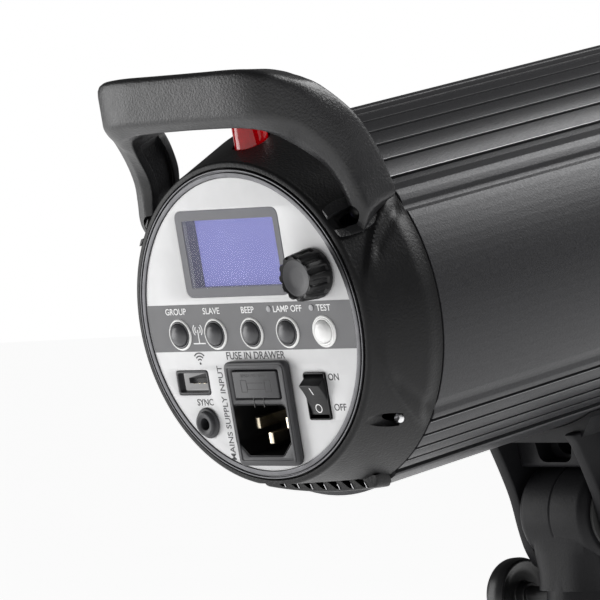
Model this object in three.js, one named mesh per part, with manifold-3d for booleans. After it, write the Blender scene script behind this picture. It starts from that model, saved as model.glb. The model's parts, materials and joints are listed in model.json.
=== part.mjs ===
// Monolight strobe: a mains studio flash head on a tilting stand bracket.
// Millimetres. The stand group stays upright; the head group leans back about the tilt pivot.
// Inside the head group: +X to the unit's right, +Y towards the light, +Z up,
// origin at the centre of the rear control panel.
import * as THREE from 'three';
import { mergeVertices } from 'three/addons/utils/BufferGeometryUtils.js';
import Module from 'manifold-3d';

const wasm = await Module();
wasm.setup();

// ---- driving dimensions -------------------------------------------------------------------
const GAP = 0.3;                       // clearance between neighbouring pieces
const TILT = THREE.MathUtils.degToRad(10);
const PIVOT = { y: 136, z: -93 };      // tilt pivot, in the head's own frame
const PIVOT_HEIGHT = 50;               // tilt pivot above the stand socket's mouth

const BODY_R = 60;                     // smooth sides of the housing
const RIB_R = 58;                      // tops of the cooling ribs
const KEEL_R = 61;                     // smooth rail along the underside
const WALL_R = 53.5;                   // inside of the housing
const SEAM_Y = 25;                     // rear shell meets main housing
const FRONT_Y = 265;                   // main housing meets front shell
const MOUNT_Y = 300;                   // front shell meets bayonet ring

const PANEL_R = 47;
const PANEL_T = 2.5;
const WINDOW = { x: -2.9, z: 23.1, w: 47, h: 27.8 };
const BUTTON_XS = [-32.6, -16.1, 0.6, 16.8, 33.1];
const BUTTON_Z = -2.65;
const BUTTON_R = 3.6;
const DIAL = { x: 33.7, z: 15.8, r: 8, foot: -0.9 };
const INLET = { x: 1.5, z: -28.1, w: 28.2, h: 33.5 };
const INLET_BODY = { x: 1.2, w: 26, h: 30.4 };
const APERTURE = { x: 0.9, z: -34, w: 24.3, h: 16.4 };
const ROCKER = { x: 25.7, z: -23, w: 9.3, h: 15.1, tilt: 20, pivot: 1, half: 4 };
const USB = { x: -30.5, z: -18.3, w: 15.1, h: 8.1 };
const JACK = { x: -26.2, z: -31.4, r: 5 };

const SCREW = { x: 44, z: 32.5 };          // in the feet of the handle
const LOW_SCREW = { x: 44.2, y: 12.8, z: -33.2, head: 2.4, bore: 2.7 };
const SENSOR = { y: 13.7, r: 5.5 };
const LAMP_Y = 272;                    // front reflector plate
const TUBE_RING_R = 33;

const CHEEK = { x: 19, t: 4.5 };
const KNUCKLE_R = 16.5;
const KNUCKLE_HALF = 15;
const UMBRELLA = { z: -68.5, r: 4.3 };
const SPIGOT_R = 8.1;                  // takes a 16 mm stand spigot
const SOCKET_R = 13;
const CLAMP_Z = 21.5;

// ---- materials ----------------------------------------------------------------------------
const finish = (color, roughness, metalness = 0) => ({ color, roughness, metalness });
const SHELL = finish(0x3a3a3c, 0.6);
const DARK = finish(0x1c1c1e, 0.5);
const WHITE = finish(0xe2e2e4, 0.4);
const GREY = finish(0x5f5f66, 0.4);
const SCREEN = finish(0x8b8dbe, 0.2);
const METAL = finish(0xb8b8bc, 0.3, 1);
const BRACKET = finish(0x55565a, 0.55, 0.3);
const RED = finish(0xc02018, 0.2);
const GLASS = finish(0xe8eef2, 0.05);
const CERAMIC = finish(0xdedad0, 0.5);
const BOARD = finish(0x1d5a38, 0.5);
const COPPER = finish(0xb07040, 0.4, 0.6);

// ---- solids -------------------------------------------------------------------------------
function toSolid(geometry) {
  const bare = geometry.clone();
  bare.deleteAttribute('normal');
  bare.deleteAttribute('uv');
  const merged = mergeVertices(bare.index ? bare.toNonIndexed() : bare, 1e-4);
  return new wasm.Manifold(new wasm.Mesh({
    numProp: 3,
    vertProperties: new Float32Array(merged.attributes.position.array),
    triVerts: new Uint32Array(merged.index.array),
  }));
}

function toGeometry(solid) {
  const mesh = solid.getMesh();
  const geometry = new THREE.BufferGeometry();
  geometry.setAttribute('position', new THREE.BufferAttribute(mesh.vertProperties, 3));
  geometry.setIndex(new THREE.BufferAttribute(mesh.triVerts, 1));
  const flat = geometry.toNonIndexed();
  flat.computeVertexNormals();
  return flat;
}

function join(...parts) {
  return toGeometry(parts.map(toSolid).reduce((a, b) => a.add(b)));
}

function cut(base, ...tools) {
  return toGeometry(tools.map(toSolid).reduce((a, b) => a.subtract(b), toSolid(base)));
}

function common(a, b) {
  return toGeometry(toSolid(a).intersect(toSolid(b)));
}

// A profile of [radius, y] points turned about the Y axis.
function turned(profile, segments = 24) {
  const points = profile.map(([r, y]) => new THREE.Vector2(r, y));
  return new THREE.LatheGeometry(points, segments);
}

// A closed ring section turned about Y: the profile comes back to its first point.
function turnedRing(profile, segments = 24) {
  return turned([...profile, profile[0]], segments);
}

// Outward faces need profiles that climb in y on the outside.
function rod(r, y0, y1, segments = 14) {
  return turned([[0, y0], [r, y0], [r, y1], [0, y1]], segments);
}

function alongX(geometry) {
  return geometry.rotateZ(-Math.PI / 2);
}

function alongZ(geometry) {
  return geometry.rotateX(Math.PI / 2);
}

function downZ(geometry) {
  return geometry.rotateX(-Math.PI / 2);
}

// An outline in x and z, given depth from y0 to y1.
function plate(shape, y0, y1, curveSegments = 2) {
  const geometry = new THREE.ExtrudeGeometry(shape, {
    depth: y1 - y0, bevelEnabled: false, curveSegments,
  });
  return geometry.rotateX(Math.PI / 2).translate(0, y1, 0);
}

// An outline in y and z, given depth from x0 to x1.
function sidePlate(shape, x0, x1, curveSegments = 2) {
  const geometry = new THREE.ExtrudeGeometry(shape, {
    depth: x1 - x0, bevelEnabled: false, curveSegments,
  });
  const turn = new THREE.Matrix4().makeBasis(
    new THREE.Vector3(0, 1, 0), new THREE.Vector3(0, 0, 1), new THREE.Vector3(1, 0, 0),
  );
  return geometry.applyMatrix4(turn).translate(x0, 0, 0);
}

function outline(points) {
  return new THREE.Shape(points.map(([x, y]) => new THREE.Vector2(x, y)));
}

function roundRect(cx, cy, w, h, r = 1) {
  const shape = new THREE.Shape();
  const [x0, x1, y0, y1] = [cx - w / 2, cx + w / 2, cy - h / 2, cy + h / 2];
  shape.moveTo(x0 + r, y0);
  shape.lineTo(x1 - r, y0);
  shape.absarc(x1 - r, y0 + r, r, -Math.PI / 2, 0);
  shape.absarc(x1 - r, y1 - r, r, 0, Math.PI / 2);
  shape.absarc(x0 + r, y1 - r, r, Math.PI / 2, Math.PI);
  shape.absarc(x0 + r, y0 + r, r, Math.PI, Math.PI * 1.5);
  return shape;
}

function block(x0, x1, y0, y1, z0, z1) {
  return new THREE.BoxGeometry(x1 - x0, y1 - y0, z1 - z0)
    .translate((x0 + x1) / 2, (y0 + y1) / 2, (z0 + z1) / 2);
}

function discShape(cx, cy, r) {
  const shape = new THREE.Shape();
  shape.absarc(cx, cy, r, 0, Math.PI * 2);
  return shape;
}

// A ruled body through sections that all have the same number of corners.
function lofted(sections) {
  const corners = sections[0].length;
  const positions = sections.flat(2);
  const index = [];
  for (let s = 0; s < sections.length - 1; s += 1) {
    for (let c = 0; c < corners; c += 1) {
      const a = s * corners + c;
      const b = s * corners + (c + 1) % corners;
      index.push(a, b, b + corners, a, b + corners, a + corners);
    }
  }
  const last = (sections.length - 1) * corners;
  for (let c = 1; c < corners - 1; c += 1) {
    index.push(0, c + 1, c);
    index.push(last, last + c, last + c + 1);
  }
  const geometry = new THREE.BufferGeometry();
  geometry.setAttribute('position', new THREE.Float32BufferAttribute(positions, 3));
  geometry.setIndex(index);
  return geometry.toNonIndexed();
}

const group = new THREE.Group();
const stand = new THREE.Group();
const tiltFrame = new THREE.Group();
const head = new THREE.Group();
tiltFrame.position.set(0, 0, PIVOT_HEIGHT);
tiltFrame.rotation.x = TILT;
head.position.set(0, -PIVOT.y, -PIVOT.z);
tiltFrame.add(head);
group.add(stand, tiltFrame);

function add(parent, name, geometry, look) {
  const mesh = new THREE.Mesh(geometry, new THREE.MeshStandardMaterial(look));
  mesh.name = name;
  parent.add(mesh);
  return mesh;
}

// ---- rear shell ---------------------------------------------------------------------------
const SHELL_WALL = 2.6;
const FOOT = { x0: 40.5, x1: 52, y0: 6.8, y1: 18, z0: 26, z1: 38.5 };
const VENT = { half: 26, y0: 18.4, y1: 24.7, top: -53, step: -54.2 };
const HEAD_T = 2.7;                    // thickness of a screw head
const BOTH_SIDES = [-1, 1];

// A bore along the barrel's axis at each of the four places where a long screw runs.
function screwBores(r, y0, y1) {
  return BOTH_SIDES.flatMap((side) => [SCREW, LOW_SCREW].map(
    (screw) => rod(r, y0, y1, 12).translate(side * screw.x, 0, screw.z),
  ));
}

function lowScrewRods(r, y0, y1) {
  return BOTH_SIDES.map((side) => rod(r, y0, y1, 16).translate(side * LOW_SCREW.x, 0, LOW_SCREW.z));
}

function rearShell() {
  const end = SEAM_Y - GAP / 2;
  const skin = turnedRing([
    [46, 3], [49.9, 3], [49.9, 0], [51.2, 0.3], [52.2, 1.6], [BODY_R, end],
    [BODY_R - SHELL_WALL, end], [51.4, 6], [46, 6],
  ], 40);
  const bosses = lowScrewRods(4.6, 6, end);
  const ventFloor = block(-VENT.half, VENT.half, 6, VENT.y0 - GAP, -60, VENT.step + SHELL_WALL);
  const blocks = [-1, 1].map((side) => block(
    side > 0 ? 39 : -52, side > 0 ? 52 : -39, FOOT.y1 + GAP, end, 27, 38,
  ));
  const coneInside = turned([[0, 0], [51, 0], [BODY_R - 0.5, end], [0, end]], 40);
  const inner = common(join(...bosses, ...blocks, ventFloor), coneInside);
  const pockets = [-1, 1].map((side) => block(
    side > 0 ? FOOT.x0 - GAP : -62, side > 0 ? 62 : -FOOT.x0 + GAP,
    FOOT.y0 - GAP, FOOT.y1 + GAP, FOOT.z0 - GAP, FOOT.z1 + 5,
  ));
  const screwHoles = screwBores(1.8, 5, end + 1);
  const counterbores = lowScrewRods(LOW_SCREW.bore, 0, LOW_SCREW.y + HEAD_T + GAP);
  const sensorHole = alongZ(rod(SENSOR.r + 1.5 + GAP, 40, 62, 20)).translate(0, SENSOR.y, 0);
  const vent = block(
    -VENT.half - GAP, VENT.half + GAP, VENT.y0 - GAP, SEAM_Y + 1, -64, VENT.top + GAP,
  );
  const step = block(-VENT.half - GAP, VENT.half + GAP, 5, SEAM_Y, -64, VENT.step);
  return cut(join(skin, inner), ...pockets, ...screwHoles, ...counterbores, sensorHole, vent, step);
}

// ---- main housing -------------------------------------------------------------------------
const TOP_RIBS = { from: 43, pitch: 7.3, count: 13 };
const LOW_RIBS = { from: -61.2, pitch: 5.8, count: 4 };
const GROOVE = { width: 1.4, depth: 1.8 };

function ribPoints({ from, pitch, count }, radius) {
  const halfGroove = THREE.MathUtils.radToDeg(GROOVE.width / 2 / radius);
  const points = [];
  for (let i = 0; i < count; i += 1) {
    const start = from + i * pitch;
    points.push([radius - GROOVE.depth, start + halfGroove], [radius, start + halfGroove]);
    points.push([radius, start + pitch - halfGroove]);
    points.push([radius - GROOVE.depth, start + pitch - halfGroove]);
  }
  return points;
}

function arcPoints(radius, from, to, steps) {
  return Array.from({ length: steps + 1 }, (_, i) => [radius, from + (to - from) * i / steps]);
}

function housingOutline() {
  const lowLeft = { ...LOW_RIBS, from: -180 - LOW_RIBS.from - LOW_RIBS.pitch * LOW_RIBS.count };
  const polar = [
    ...arcPoints(KEEL_R, -117, -63, 8),
    ...ribPoints(LOW_RIBS, BODY_R),
    ...arcPoints(BODY_R, -36.5, 36.5, 10),
    ...ribPoints(TOP_RIBS, RIB_R),
    ...arcPoints(BODY_R, 143.5, 216.5, 10),
    ...ribPoints(lowLeft, BODY_R),
  ];
  return outline(polar.map(([r, deg]) => {
    const a = THREE.MathUtils.degToRad(deg);
    return [r * Math.cos(a), r * Math.sin(a)];
  }));
}

function mainHousing() {
  const solid = plate(housingOutline(), SEAM_Y + GAP / 2, FRONT_Y - GAP / 2);
  const bore = rod(WALL_R, 0, 300, 48);
  const holes = screwBores(1.8, 20, 42);
  const bolts = [-1, 1].map((side) => bracketBoltHole(side, 2.3, 40, 70));
  return cut(solid, bore, ...holes, ...bolts);
}

// ---- front shell, bayonet mount and lamp --------------------------------------------------
const LOCK = { y0: 280, y1: 292, half: 6, travel: 6 };

function frontShell() {
  const skin = turnedRing([
    [53, FRONT_Y + GAP / 2], [BODY_R, FRONT_Y + GAP / 2], [61.5, FRONT_Y + 6],
    [61.5, MOUNT_Y], [57.5, MOUNT_Y], [57.5, LAMP_Y + 6], [52, LAMP_Y + 3],
  ], 40);
  const slot = block(50, 66, LOCK.y0 - LOCK.travel, LOCK.y1 + GAP, -3.6, 3.6);
  return cut(skin, slot);
}

function bayonetRing() {
  const ring = turnedRing([
    [46, MOUNT_Y + GAP], [61.2, MOUNT_Y + GAP], [61.2, MOUNT_Y + 3.2], [46, MOUNT_Y + 3.2],
  ], 40);
  const notches = [90, 210, 330].map((deg) => block(-13, 13, 290, 310, 30, 50.5)
    .rotateY(-THREE.MathUtils.degToRad(deg - 90)));
  const pinHole = rod(2.2, 290, 310, 12).translate(53.5, 0, 0);
  return cut(ring, ...notches, pinHole);
}

function bayonetLock() {
  const thumb = block(61.9, 65.5, LOCK.y0, LOCK.y1, -LOCK.half, LOCK.half);
  const neck = block(51.9, 62.5, LOCK.y0 + 1, LOCK.y1 - 1, -3.2, 3.2);
  const pin = rod(1.8, LOCK.y1 - 2, MOUNT_Y + 5, 12).translate(53.5, 0, 0);
  return join(thumb, neck, pin);
}

function reflectorPlate() {
  const dish = turnedRing([
    [17.6, LAMP_Y - 1], [40, LAMP_Y - 1], [51.6, LAMP_Y + 2.7], [51.6, LAMP_Y + 5],
    [40, LAMP_Y + 1.2], [17.6, LAMP_Y + 1.2],
  ], 32);
  const legHoles = [-1, 1].map((side) => rod(4.9, 250, 290, 14)
    .translate(side * 9, 0, -TUBE_RING_R + 1.5));
  return cut(dish, ...legHoles);
}

function flashTube() {
  const points = [];
  const legX = 9;
  const legZ = -TUBE_RING_R + 1.5;
  points.push(new THREE.Vector3(-legX, 258, legZ), new THREE.Vector3(-legX, 285, legZ));
  for (let i = 0; i <= 12; i += 1) {
    const a = THREE.MathUtils.degToRad(-108 - (324 * i) / 12);
    points.push(new THREE.Vector3(TUBE_RING_R * Math.cos(a), 298, TUBE_RING_R * Math.sin(a)));
  }
  points.push(new THREE.Vector3(legX, 285, legZ), new THREE.Vector3(legX, 258, legZ));
  const path = new THREE.CatmullRomCurve3(points, false, 'centripetal');
  return new THREE.ExtrudeGeometry(discShape(0, 0, 4.3), {
    steps: 34, bevelEnabled: false, extrudePath: path, curveSegments: 4,
  });
}

function modellingLamp() {
  return turned([
    [0, 258], [13, 258], [13, 276], [15, 279], [19.5, 290], [21.5, 302], [19.5, 314],
    [13, 323], [6, 326.5], [0, 327.3],
  ], 24);
}

function lampHolder() {
  return turned([[0, 244], [17, 244], [17, 275], [13.4, 275], [13.4, 257.5], [0, 257.5]], 28);
}

// ---- carry handle -------------------------------------------------------------------------
// Corner order in each section: outer rear, outer fold, outer front, inner front, inner rear.
const HANDLE_STATIONS = [
  [[0, -16.2, 67.5], [0, -16.2, 81.8], [0, 3.4, 77.6], [0, 3.4, 65.5], [0, -12.6, 64]],
  [[34.2, -16.2, 67.4], [34.2, -16.2, 81.6], [34.2, 3.2, 77.4], [32.6, 3.6, 65.2], [32.8, -12.5, 63.8]],
  [[40, -10.4, 65.3], [39.8, -10.6, 76.8], [40.2, 1.4, 76.2], [36.8, 5, 64.4], [36.3, -7.5, 61.8]],
  [[44, -2.8, 60.4], [44.8, 0, 70], [45.6, 6.8, 71.3], [41, 8.8, 61.2], [40.2, -0.6, 57.4]],
  [[47, 3.8, 53.6], [48.3, 8, 60.5], [49, 12.7, 63.6], [44.6, 13, 56], [43, 5, 51.5]],
  [[48.5, 7.3, 46.7], [49.6, 12, 50.5], [50.2, 17.2, 54], [46, 17, 49], [44.4, 7.8, 45.4]],
  [[50, 8.2, 36], [50.8, 14, 38], [51.3, 17.8, 40], [47, 17.8, 39], [45.6, 8.2, 36]],
];

function handle() {
  const right = [...HANDLE_STATIONS].reverse();
  const left = HANDLE_STATIONS.slice(1).map((section) => section.map(([x, y, z]) => [-x, y, z]));
  const strap = lofted([...right, ...left]);
  const feet = [-1, 1].map((side) => plate(
    roundRect(side * (FOOT.x0 + FOOT.x1) / 2, (FOOT.z0 + FOOT.z1) / 2,
      FOOT.x1 - FOOT.x0, FOOT.z1 - FOOT.z0, 3.5),
    FOOT.y0, FOOT.y1, 4,
  ));
  const bores = [-1, 1].flatMap((side) => [
    rod(3.3, 0, 13, 16).translate(side * SCREW.x, 0, SCREW.z),
    rod(1.8, 0, 25, 12).translate(side * SCREW.x, 0, SCREW.z),
  ]);
  return cut(join(strap, ...feet), ...bores);
}

// ---- rear panel ---------------------------------------------------------------------------
function controlPanel() {
  const disc = rod(PANEL_R, 0, PANEL_T, 40);
  const collars = BUTTON_XS.map((x) => rod(5.1, -0.6, 1, 12).translate(x, 0, BUTTON_Z));
  const wells = BUTTON_XS.map((x) => rod(BUTTON_R + GAP, -3, 5, 12).translate(x, 0, BUTTON_Z));
  return cut(
    join(disc, ...collars),
    ...wells,
    plate(roundRect(WINDOW.x, WINDOW.z, WINDOW.w, WINDOW.h, 3), -3, 5),
    rod(4, -3, 5, 12).translate(DIAL.x, 0, DIAL.z),
    plate(roundRect(INLET_BODY.x, INLET.z, INLET_BODY.w + 2 * GAP, INLET_BODY.h + 2 * GAP, 1.5), -3, 5),
    plate(roundRect(ROCKER.x, ROCKER.z, ROCKER.w - 0.2, ROCKER.h - 0.3, 0.4), -3, 5),
    plate(roundRect(USB.x, USB.z, USB.w, USB.h, 0.6), -3, 5),
    rod(4.1, -3, 5, 14).translate(JACK.x, 0, JACK.z),
  );
}

function button(x) {
  const profile = [[0, -2.6], [2.4, -2.3], [BUTTON_R, -1.2], [BUTTON_R, 3.2], [1.8, 3.2],
    [1.8, 7.6], [0, 7.6]];
  return turned(profile, 12).translate(x, 0, BUTTON_Z);
}

function displayWindow() {
  return plate(roundRect(WINDOW.x, WINDOW.z, WINDOW.w - 2 * GAP, WINDOW.h - 2 * GAP, 2.7), 0.3, 1.8);
}

function dialKnob() {
  const flutes = 12;
  const body = turned([
    [0, -6.5], [3, -6.4], [5.6, -8.4], [6.8, -9.6], [7.5, -8.8], [DIAL.r, DIAL.foot],
    [3.4, DIAL.foot], [3.4, -5], [0, -5],
  ], 24);
  const scoops = Array.from({ length: flutes }, (_, i) => {
    const a = (i * 2 * Math.PI) / flutes;
    return rod(0.9, -12, 2, 6).translate(8.3 * Math.cos(a), 0, 8.3 * Math.sin(a));
  });
  return cut(body, ...scoops).translate(DIAL.x, 0, DIAL.z);
}

function dialShaft() {
  return rod(3, -4.6, 6.4, 16).translate(DIAL.x, 0, DIAL.z);
}

function dialEncoder() {
  const can = block(DIAL.x - 6, DIAL.x + 6, 3, 8.6, DIAL.z - 6.5, DIAL.z + 6.5);
  const bore = rod(3.3, 2, 7.2, 16).translate(DIAL.x, 0, DIAL.z);
  return cut(can, bore);
}

function inletHousing() {
  const flange = plate(roundRect(INLET.x, INLET.z, INLET.w, INLET.h, 2), -2.8, -GAP);
  const body = plate(
    roundRect(INLET_BODY.x, INLET.z, INLET_BODY.w, INLET_BODY.h, 1.2), -GAP - 0.1, 26,
  );
  const drawerWell = plate(
    roundRect(INLET.x, DRAWER.z, DRAWER.w + 2 * GAP, DRAWER.h + 2 * GAP, 0.5), -5, 20,
  );
  const mouth = plate(apertureShape(), -5, 17);
  const pinHoles = INLET_PINS.map(([x, z, w, h]) => block(
    x - w / 2 - 0.05, x + w / 2 + 0.05, 15, 30, z - h / 2 - 0.05, z + h / 2 + 0.05,
  ));
  return cut(join(flange, body), drawerWell, mouth, ...pinHoles);
}

const DRAWER = { z: -18.6, w: 20, h: 8.6 };
const INLET_PINS = [
  [APERTURE.x - 7, -32, 2, 4],
  [APERTURE.x + 7, -32, 2, 4],
  [APERTURE.x, -36.5, 2, 4],
];

function apertureShape() {
  const { x, z, w, h } = APERTURE;
  const [hw, hh, bevel] = [w / 2, h / 2, 4.4];
  return outline([
    [x - hw + bevel, z - hh], [x + hw - bevel, z - hh], [x + hw, z - hh + bevel],
    [x + hw, z + hh], [x - hw, z + hh], [x - hw, z - hh + bevel],
  ]);
}

function inletPin([x, z, w, h]) {
  return block(x - w / 2, x + w / 2, 2, 32, z - h / 2, z + h / 2);
}

function fuseDrawer() {
  const half = DRAWER.w / 2;
  const tray = block(-half, half, -3.3, 19.4, DRAWER.z - 4.3, DRAWER.z + 4.3);
  const trough = block(-8.2, 8.2, 2, 18, DRAWER.z - 2.6, DRAWER.z + 8);
  return cut(tray, trough).translate(INLET.x, 0, 0);
}

function fuse() {
  return alongX(rod(2.3, -7.6, 7.6, 14)).translate(INLET.x, 10, DRAWER.z + 0.4);
}

function switchFrame() {
  const flange = plate(roundRect(ROCKER.x, ROCKER.z, ROCKER.w, ROCKER.h, 0.6), -1, -GAP);
  const body = plate(roundRect(ROCKER.x, ROCKER.z, ROCKER.w - 0.4, ROCKER.h - 0.6, 0.4), -GAP - 0.1, 14);
  const well = plate(roundRect(ROCKER.x, ROCKER.z, ROCKER.w - 0.9, ROCKER.h - 1.2, 0.3), -4, 9);
  return cut(join(flange, body), well);
}

// Two sloping ends, two ridges and a dished face, leaning towards OFF.
function switchRocker() {
  const shape = outline([
    [-3.2, -5.3], [-2.3, 0], [-3.2, 5.3], [1.4, 6.55], [2.6, 6], [4.6, 0], [2.6, -6], [1.4, -6.55],
  ]);
  return sidePlate(shape, -ROCKER.half, ROCKER.half).rotateX(THREE.MathUtils.degToRad(ROCKER.tilt))
    .translate(ROCKER.x, ROCKER.pivot, ROCKER.z);
}

function usbShell() {
  const outer = plate(roundRect(USB.x, USB.z, USB.w - 2 * GAP, USB.h - 2 * GAP, 0.5), 0.2, 16);
  const inner = plate(roundRect(USB.x, USB.z, USB.w - 2, USB.h - 2, 0.3), -1, 14.5);
  return cut(outer, inner);
}

function usbTongue() {
  return block(USB.x - 5.6, USB.x + 5.6, 1.4, 14.2, USB.z + 0.4, USB.z + 2.3);
}

function syncJack() {
  return turned([
    [0, 10], [1.8, 10], [1.8, -2.4], [3.2, -2.4], [3.4, -1.4], [JACK.r, -1.2],
    [JACK.r, -GAP], [3.7, -GAP], [3.7, 14], [0, 14],
  ], 24).translate(JACK.x, 0, JACK.z);
}

// ---- vent foot and ready sensor -----------------------------------------------------------
// Cross-section of the foot: flat sole, chamfered ends, open top where the air goes in.
function footSection(y, sole) {
  const { half, top } = VENT;
  const end = sole + 1.3;
  return [
    [half, y, top], [half, y, end], [half - 4, y, sole],
    [4 - half, y, sole], [-half, y, end], [-half, y, top],
  ];
}

function ventFoot() {
  const outside = lofted([footSection(VENT.y0, -58.3), footSection(VENT.y1, -60)]);
  const inside = block(2 - VENT.half, VENT.half - 2, VENT.y0 + 1.4, VENT.y1 - 1.4, -57.4, -50);
  const slots = Array.from({ length: 7 }, (_, i) => (
    block(-1.3, 1.3, VENT.y0 - 1, VENT.y0 + 2, -1.35, 1.35)
      .rotateY(THREE.MathUtils.degToRad(14)).translate((i - 3) * 6.15, 0, -55.85)
  ));
  return cut(outside, inside, ...slots);
}

function sensorBezel() {
  return alongZ(turnedRing([
    [SENSOR.r + GAP, 46], [SENSOR.r + 1.5, 46], [SENSOR.r + 1.5, 57.6], [SENSOR.r + GAP, 57.6],
  ], 24)).translate(0, SENSOR.y, 0);
}

function sensorCap() {
  return alongZ(turned([
    [0, 48], [SENSOR.r, 48], [SENSOR.r, 60], [4.9, 62.6], [3.4, 64.1], [0, 64.5],
  ], 24)).translate(0, SENSOR.y, 0);
}

// ---- inside the head ----------------------------------------------------------------------
const CAP_R = 17.5;
const FAN = { y0: 208, y1: 223, half: 34 };

function displayBoard() {
  return plate(roundRect(0, 14.5, 68, 43, 2), 8.9, 10.5);
}

function capacitor(x, y) {
  return turned([[0, y], [CAP_R - 1, y], [CAP_R, y + 1.5], [CAP_R, y + 54], [CAP_R - 1, y + 55],
    [0, y + 55]], 24).translate(x, 0, 10);
}

function fanFrame() {
  const frame = plate(roundRect(0, 0, FAN.half * 2, FAN.half * 2, 5), FAN.y0, FAN.y1);
  const bore = rod(FAN.half - 2, FAN.y0 - 1, FAN.y1 - 2.5, 24);
  const outlets = [0, 90, 180, 270].map((deg) => plate(roundRect(18, 0, 16, 22, 6), 200, 230)
    .rotateY(THREE.MathUtils.degToRad(deg)));
  return cut(frame, bore, ...outlets);
}

function fanRotor() {
  const hub = rod(11, FAN.y0 + 1, FAN.y1 - 3.2, 20);
  const blades = Array.from({ length: 7 }, (_, i) => block(-1, 1, -5, 5, 9, FAN.half - 3.2)
    .rotateZ(THREE.MathUtils.degToRad(28)).translate(0, FAN.y0 + 6.2, 0)
    .rotateY((i * 2 * Math.PI) / 7));
  const blade = common(join(...blades), rod(FAN.half - 3, FAN.y0 + 0.8, FAN.y1 - 3.4, 24));
  return join(hub, blade);
}

// ---- tilting bracket ----------------------------------------------------------------------
const BRACKET_BOLT = { x: 12, y: 190, seat: 63.7 };
const BASE = { y0: 127, y1: 206, z0: -65.5, z1: -KEEL_R - GAP };
const CHEEK_SIDE = [
  [114.5, -61.4], [117.5, -66], [121, -76], [124, -86], [125.3, -97], [127, -105], [130.5, -111.5],
  [136, -113.5], [143, -112], [149, -106], [154, -96], [163, -84], [182, -73], [206, -65.5],
  [206, -61.4],
];

function bracketYoke() {
  const cheeks = [-1, 1].map((side) => sidePlate(
    outline(CHEEK_SIDE), side * CHEEK.x - CHEEK.t / 2, side * CHEEK.x + CHEEK.t / 2,
  ));
  const base = block(-21, 21, BASE.y0, BASE.y1, BASE.z0, BASE.z1);
  const bridge = block(-17.5, 17.5, 127, 151, -76, -64);
  const keelRoom = rod(KEEL_R + GAP, 100, 220, 48);
  const flanks = common(
    block(-27, 27, 119, 206, -66, -50),
    rod(KEEL_R + 3.2, 100, 220, 48),
  );
  const umbrellaBore = rod(UMBRELLA.r, 100, 230, 20).translate(0, 0, UMBRELLA.z);
  const umbrellaTap = alongX(rod(2.7, 0, 60, 12)).translate(0, 143, UMBRELLA.z);
  const pivotBore = alongX(rod(4.3, -40, 40, 20)).translate(0, PIVOT.y, PIVOT.z);
  const headSeat = alongX(rod(7.8, -40, -18.2, 6)).translate(0, PIVOT.y, PIVOT.z);
  const boltBores = [-1, 1].map((side) => bracketBoltHole(side, 2.3, 50, 80));
  const boltSeats = [-1, 1].map((side) => bracketBoltHole(side, 4.2, BRACKET_BOLT.seat, 80));
  return cut(join(...cheeks, base, bridge, flanks), keelRoom, umbrellaBore, umbrellaTap,
    pivotBore, headSeat, ...boltBores, ...boltSeats);
}

function bracketBoltHole(side, r, from, to) {
  return downZ(rod(r, from, to, 12)).translate(side * BRACKET_BOLT.x, BRACKET_BOLT.y, 0);
}

function bracketBolt(side) {
  const under = BRACKET_BOLT.seat + GAP;
  const profile = [[0, 51], [2, 51], [2, under], [3.8, under], [3.8, under + 1.5], [0, under + 1.5]];
  return downZ(turned(profile, 14)).translate(side * BRACKET_BOLT.x, BRACKET_BOLT.y, 0);
}

function knobOutline(r, lobes, depth) {
  const steps = lobes * 6;
  return outline(Array.from({ length: steps }, (_, i) => {
    const a = (i * 2 * Math.PI) / steps;
    const reach = r - depth * (0.5 + 0.5 * Math.cos(a * lobes));
    return [reach * Math.cos(a), reach * Math.sin(a)];
  }));
}

function umbrellaScrew() {
  const grip = sidePlate(knobOutline(8, 6, 1), 24, 33);
  const shank = alongX(rod(2.4, UMBRELLA.r + 1, 25, 12));
  return join(grip, shank).translate(0, 143, UMBRELLA.z);
}

function tiltBolt() {
  const shank = alongX(rod(4, -19, 34, 20));
  const boltHead = alongX(rod(7.3, -21, -18.5, 6));
  return join(shank, boltHead).translate(0, PIVOT.y, PIVOT.z);
}

const LEVER_SIDE = [[0, -8], [8, -7.5], [58, 0.5], [62, 5], [59, 9.5], [50, 9], [0, 9]];

function tiltLever() {
  const hub = alongX(turned([[0, 21.8], [9, 21.8], [11, 23], [11, 33], [9, 36.5], [0, 36.5]], 28));
  const bore = alongX(rod(4.15, 20, 34.3, 20));
  const arm = sidePlate(outline(LEVER_SIDE), 25, 34);
  return cut(join(hub, arm), bore).rotateX(THREE.MathUtils.degToRad(-35))
    .translate(0, PIVOT.y, PIVOT.z);
}

function frictionWasher(side) {
  const inner = KNUCKLE_HALF + GAP;
  const outer = CHEEK.x - CHEEK.t / 2 - GAP;
  const washer = alongX(turnedRing([[4.3, inner], [13, inner], [13, outer], [4.3, outer]], 28));
  return (side < 0 ? washer.rotateY(Math.PI) : washer).translate(0, PIVOT.y, PIVOT.z);
}

// ---- stand adapter (upright, origin at the socket's mouth) --------------------------------
function standAdapter() {
  const knuckle = alongX(rod(KNUCKLE_R, -KNUCKLE_HALF, KNUCKLE_HALF, 36))
    .translate(0, 0, PIVOT_HEIGHT);
  const neck = lofted([
    [[-13, -13, 26], [13, -13, 26], [13, 13, 26], [-13, 13, 26]],
    [[-14.9, -14.5, 44], [14.9, -14.5, 44], [14.9, 14.5, 44], [-14.9, 14.5, 44]],
  ]);
  const socket = alongZ(turned([
    [0, 0], [SOCKET_R - 1, 0], [SOCKET_R, 1], [SOCKET_R, 34], [0, 34],
  ], 36));
  const bore = alongZ(rod(SPIGOT_R, -5, 38, 32));
  const pivotBore = alongX(rod(4.3, -30, 30, 20)).translate(0, 0, PIVOT_HEIGHT);
  const clampBore = alongX(rod(3.2, -30, 0, 16)).translate(0, 0, CLAMP_Z);
  return cut(join(knuckle, neck, socket), bore, pivotBore, clampBore);
}

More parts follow.
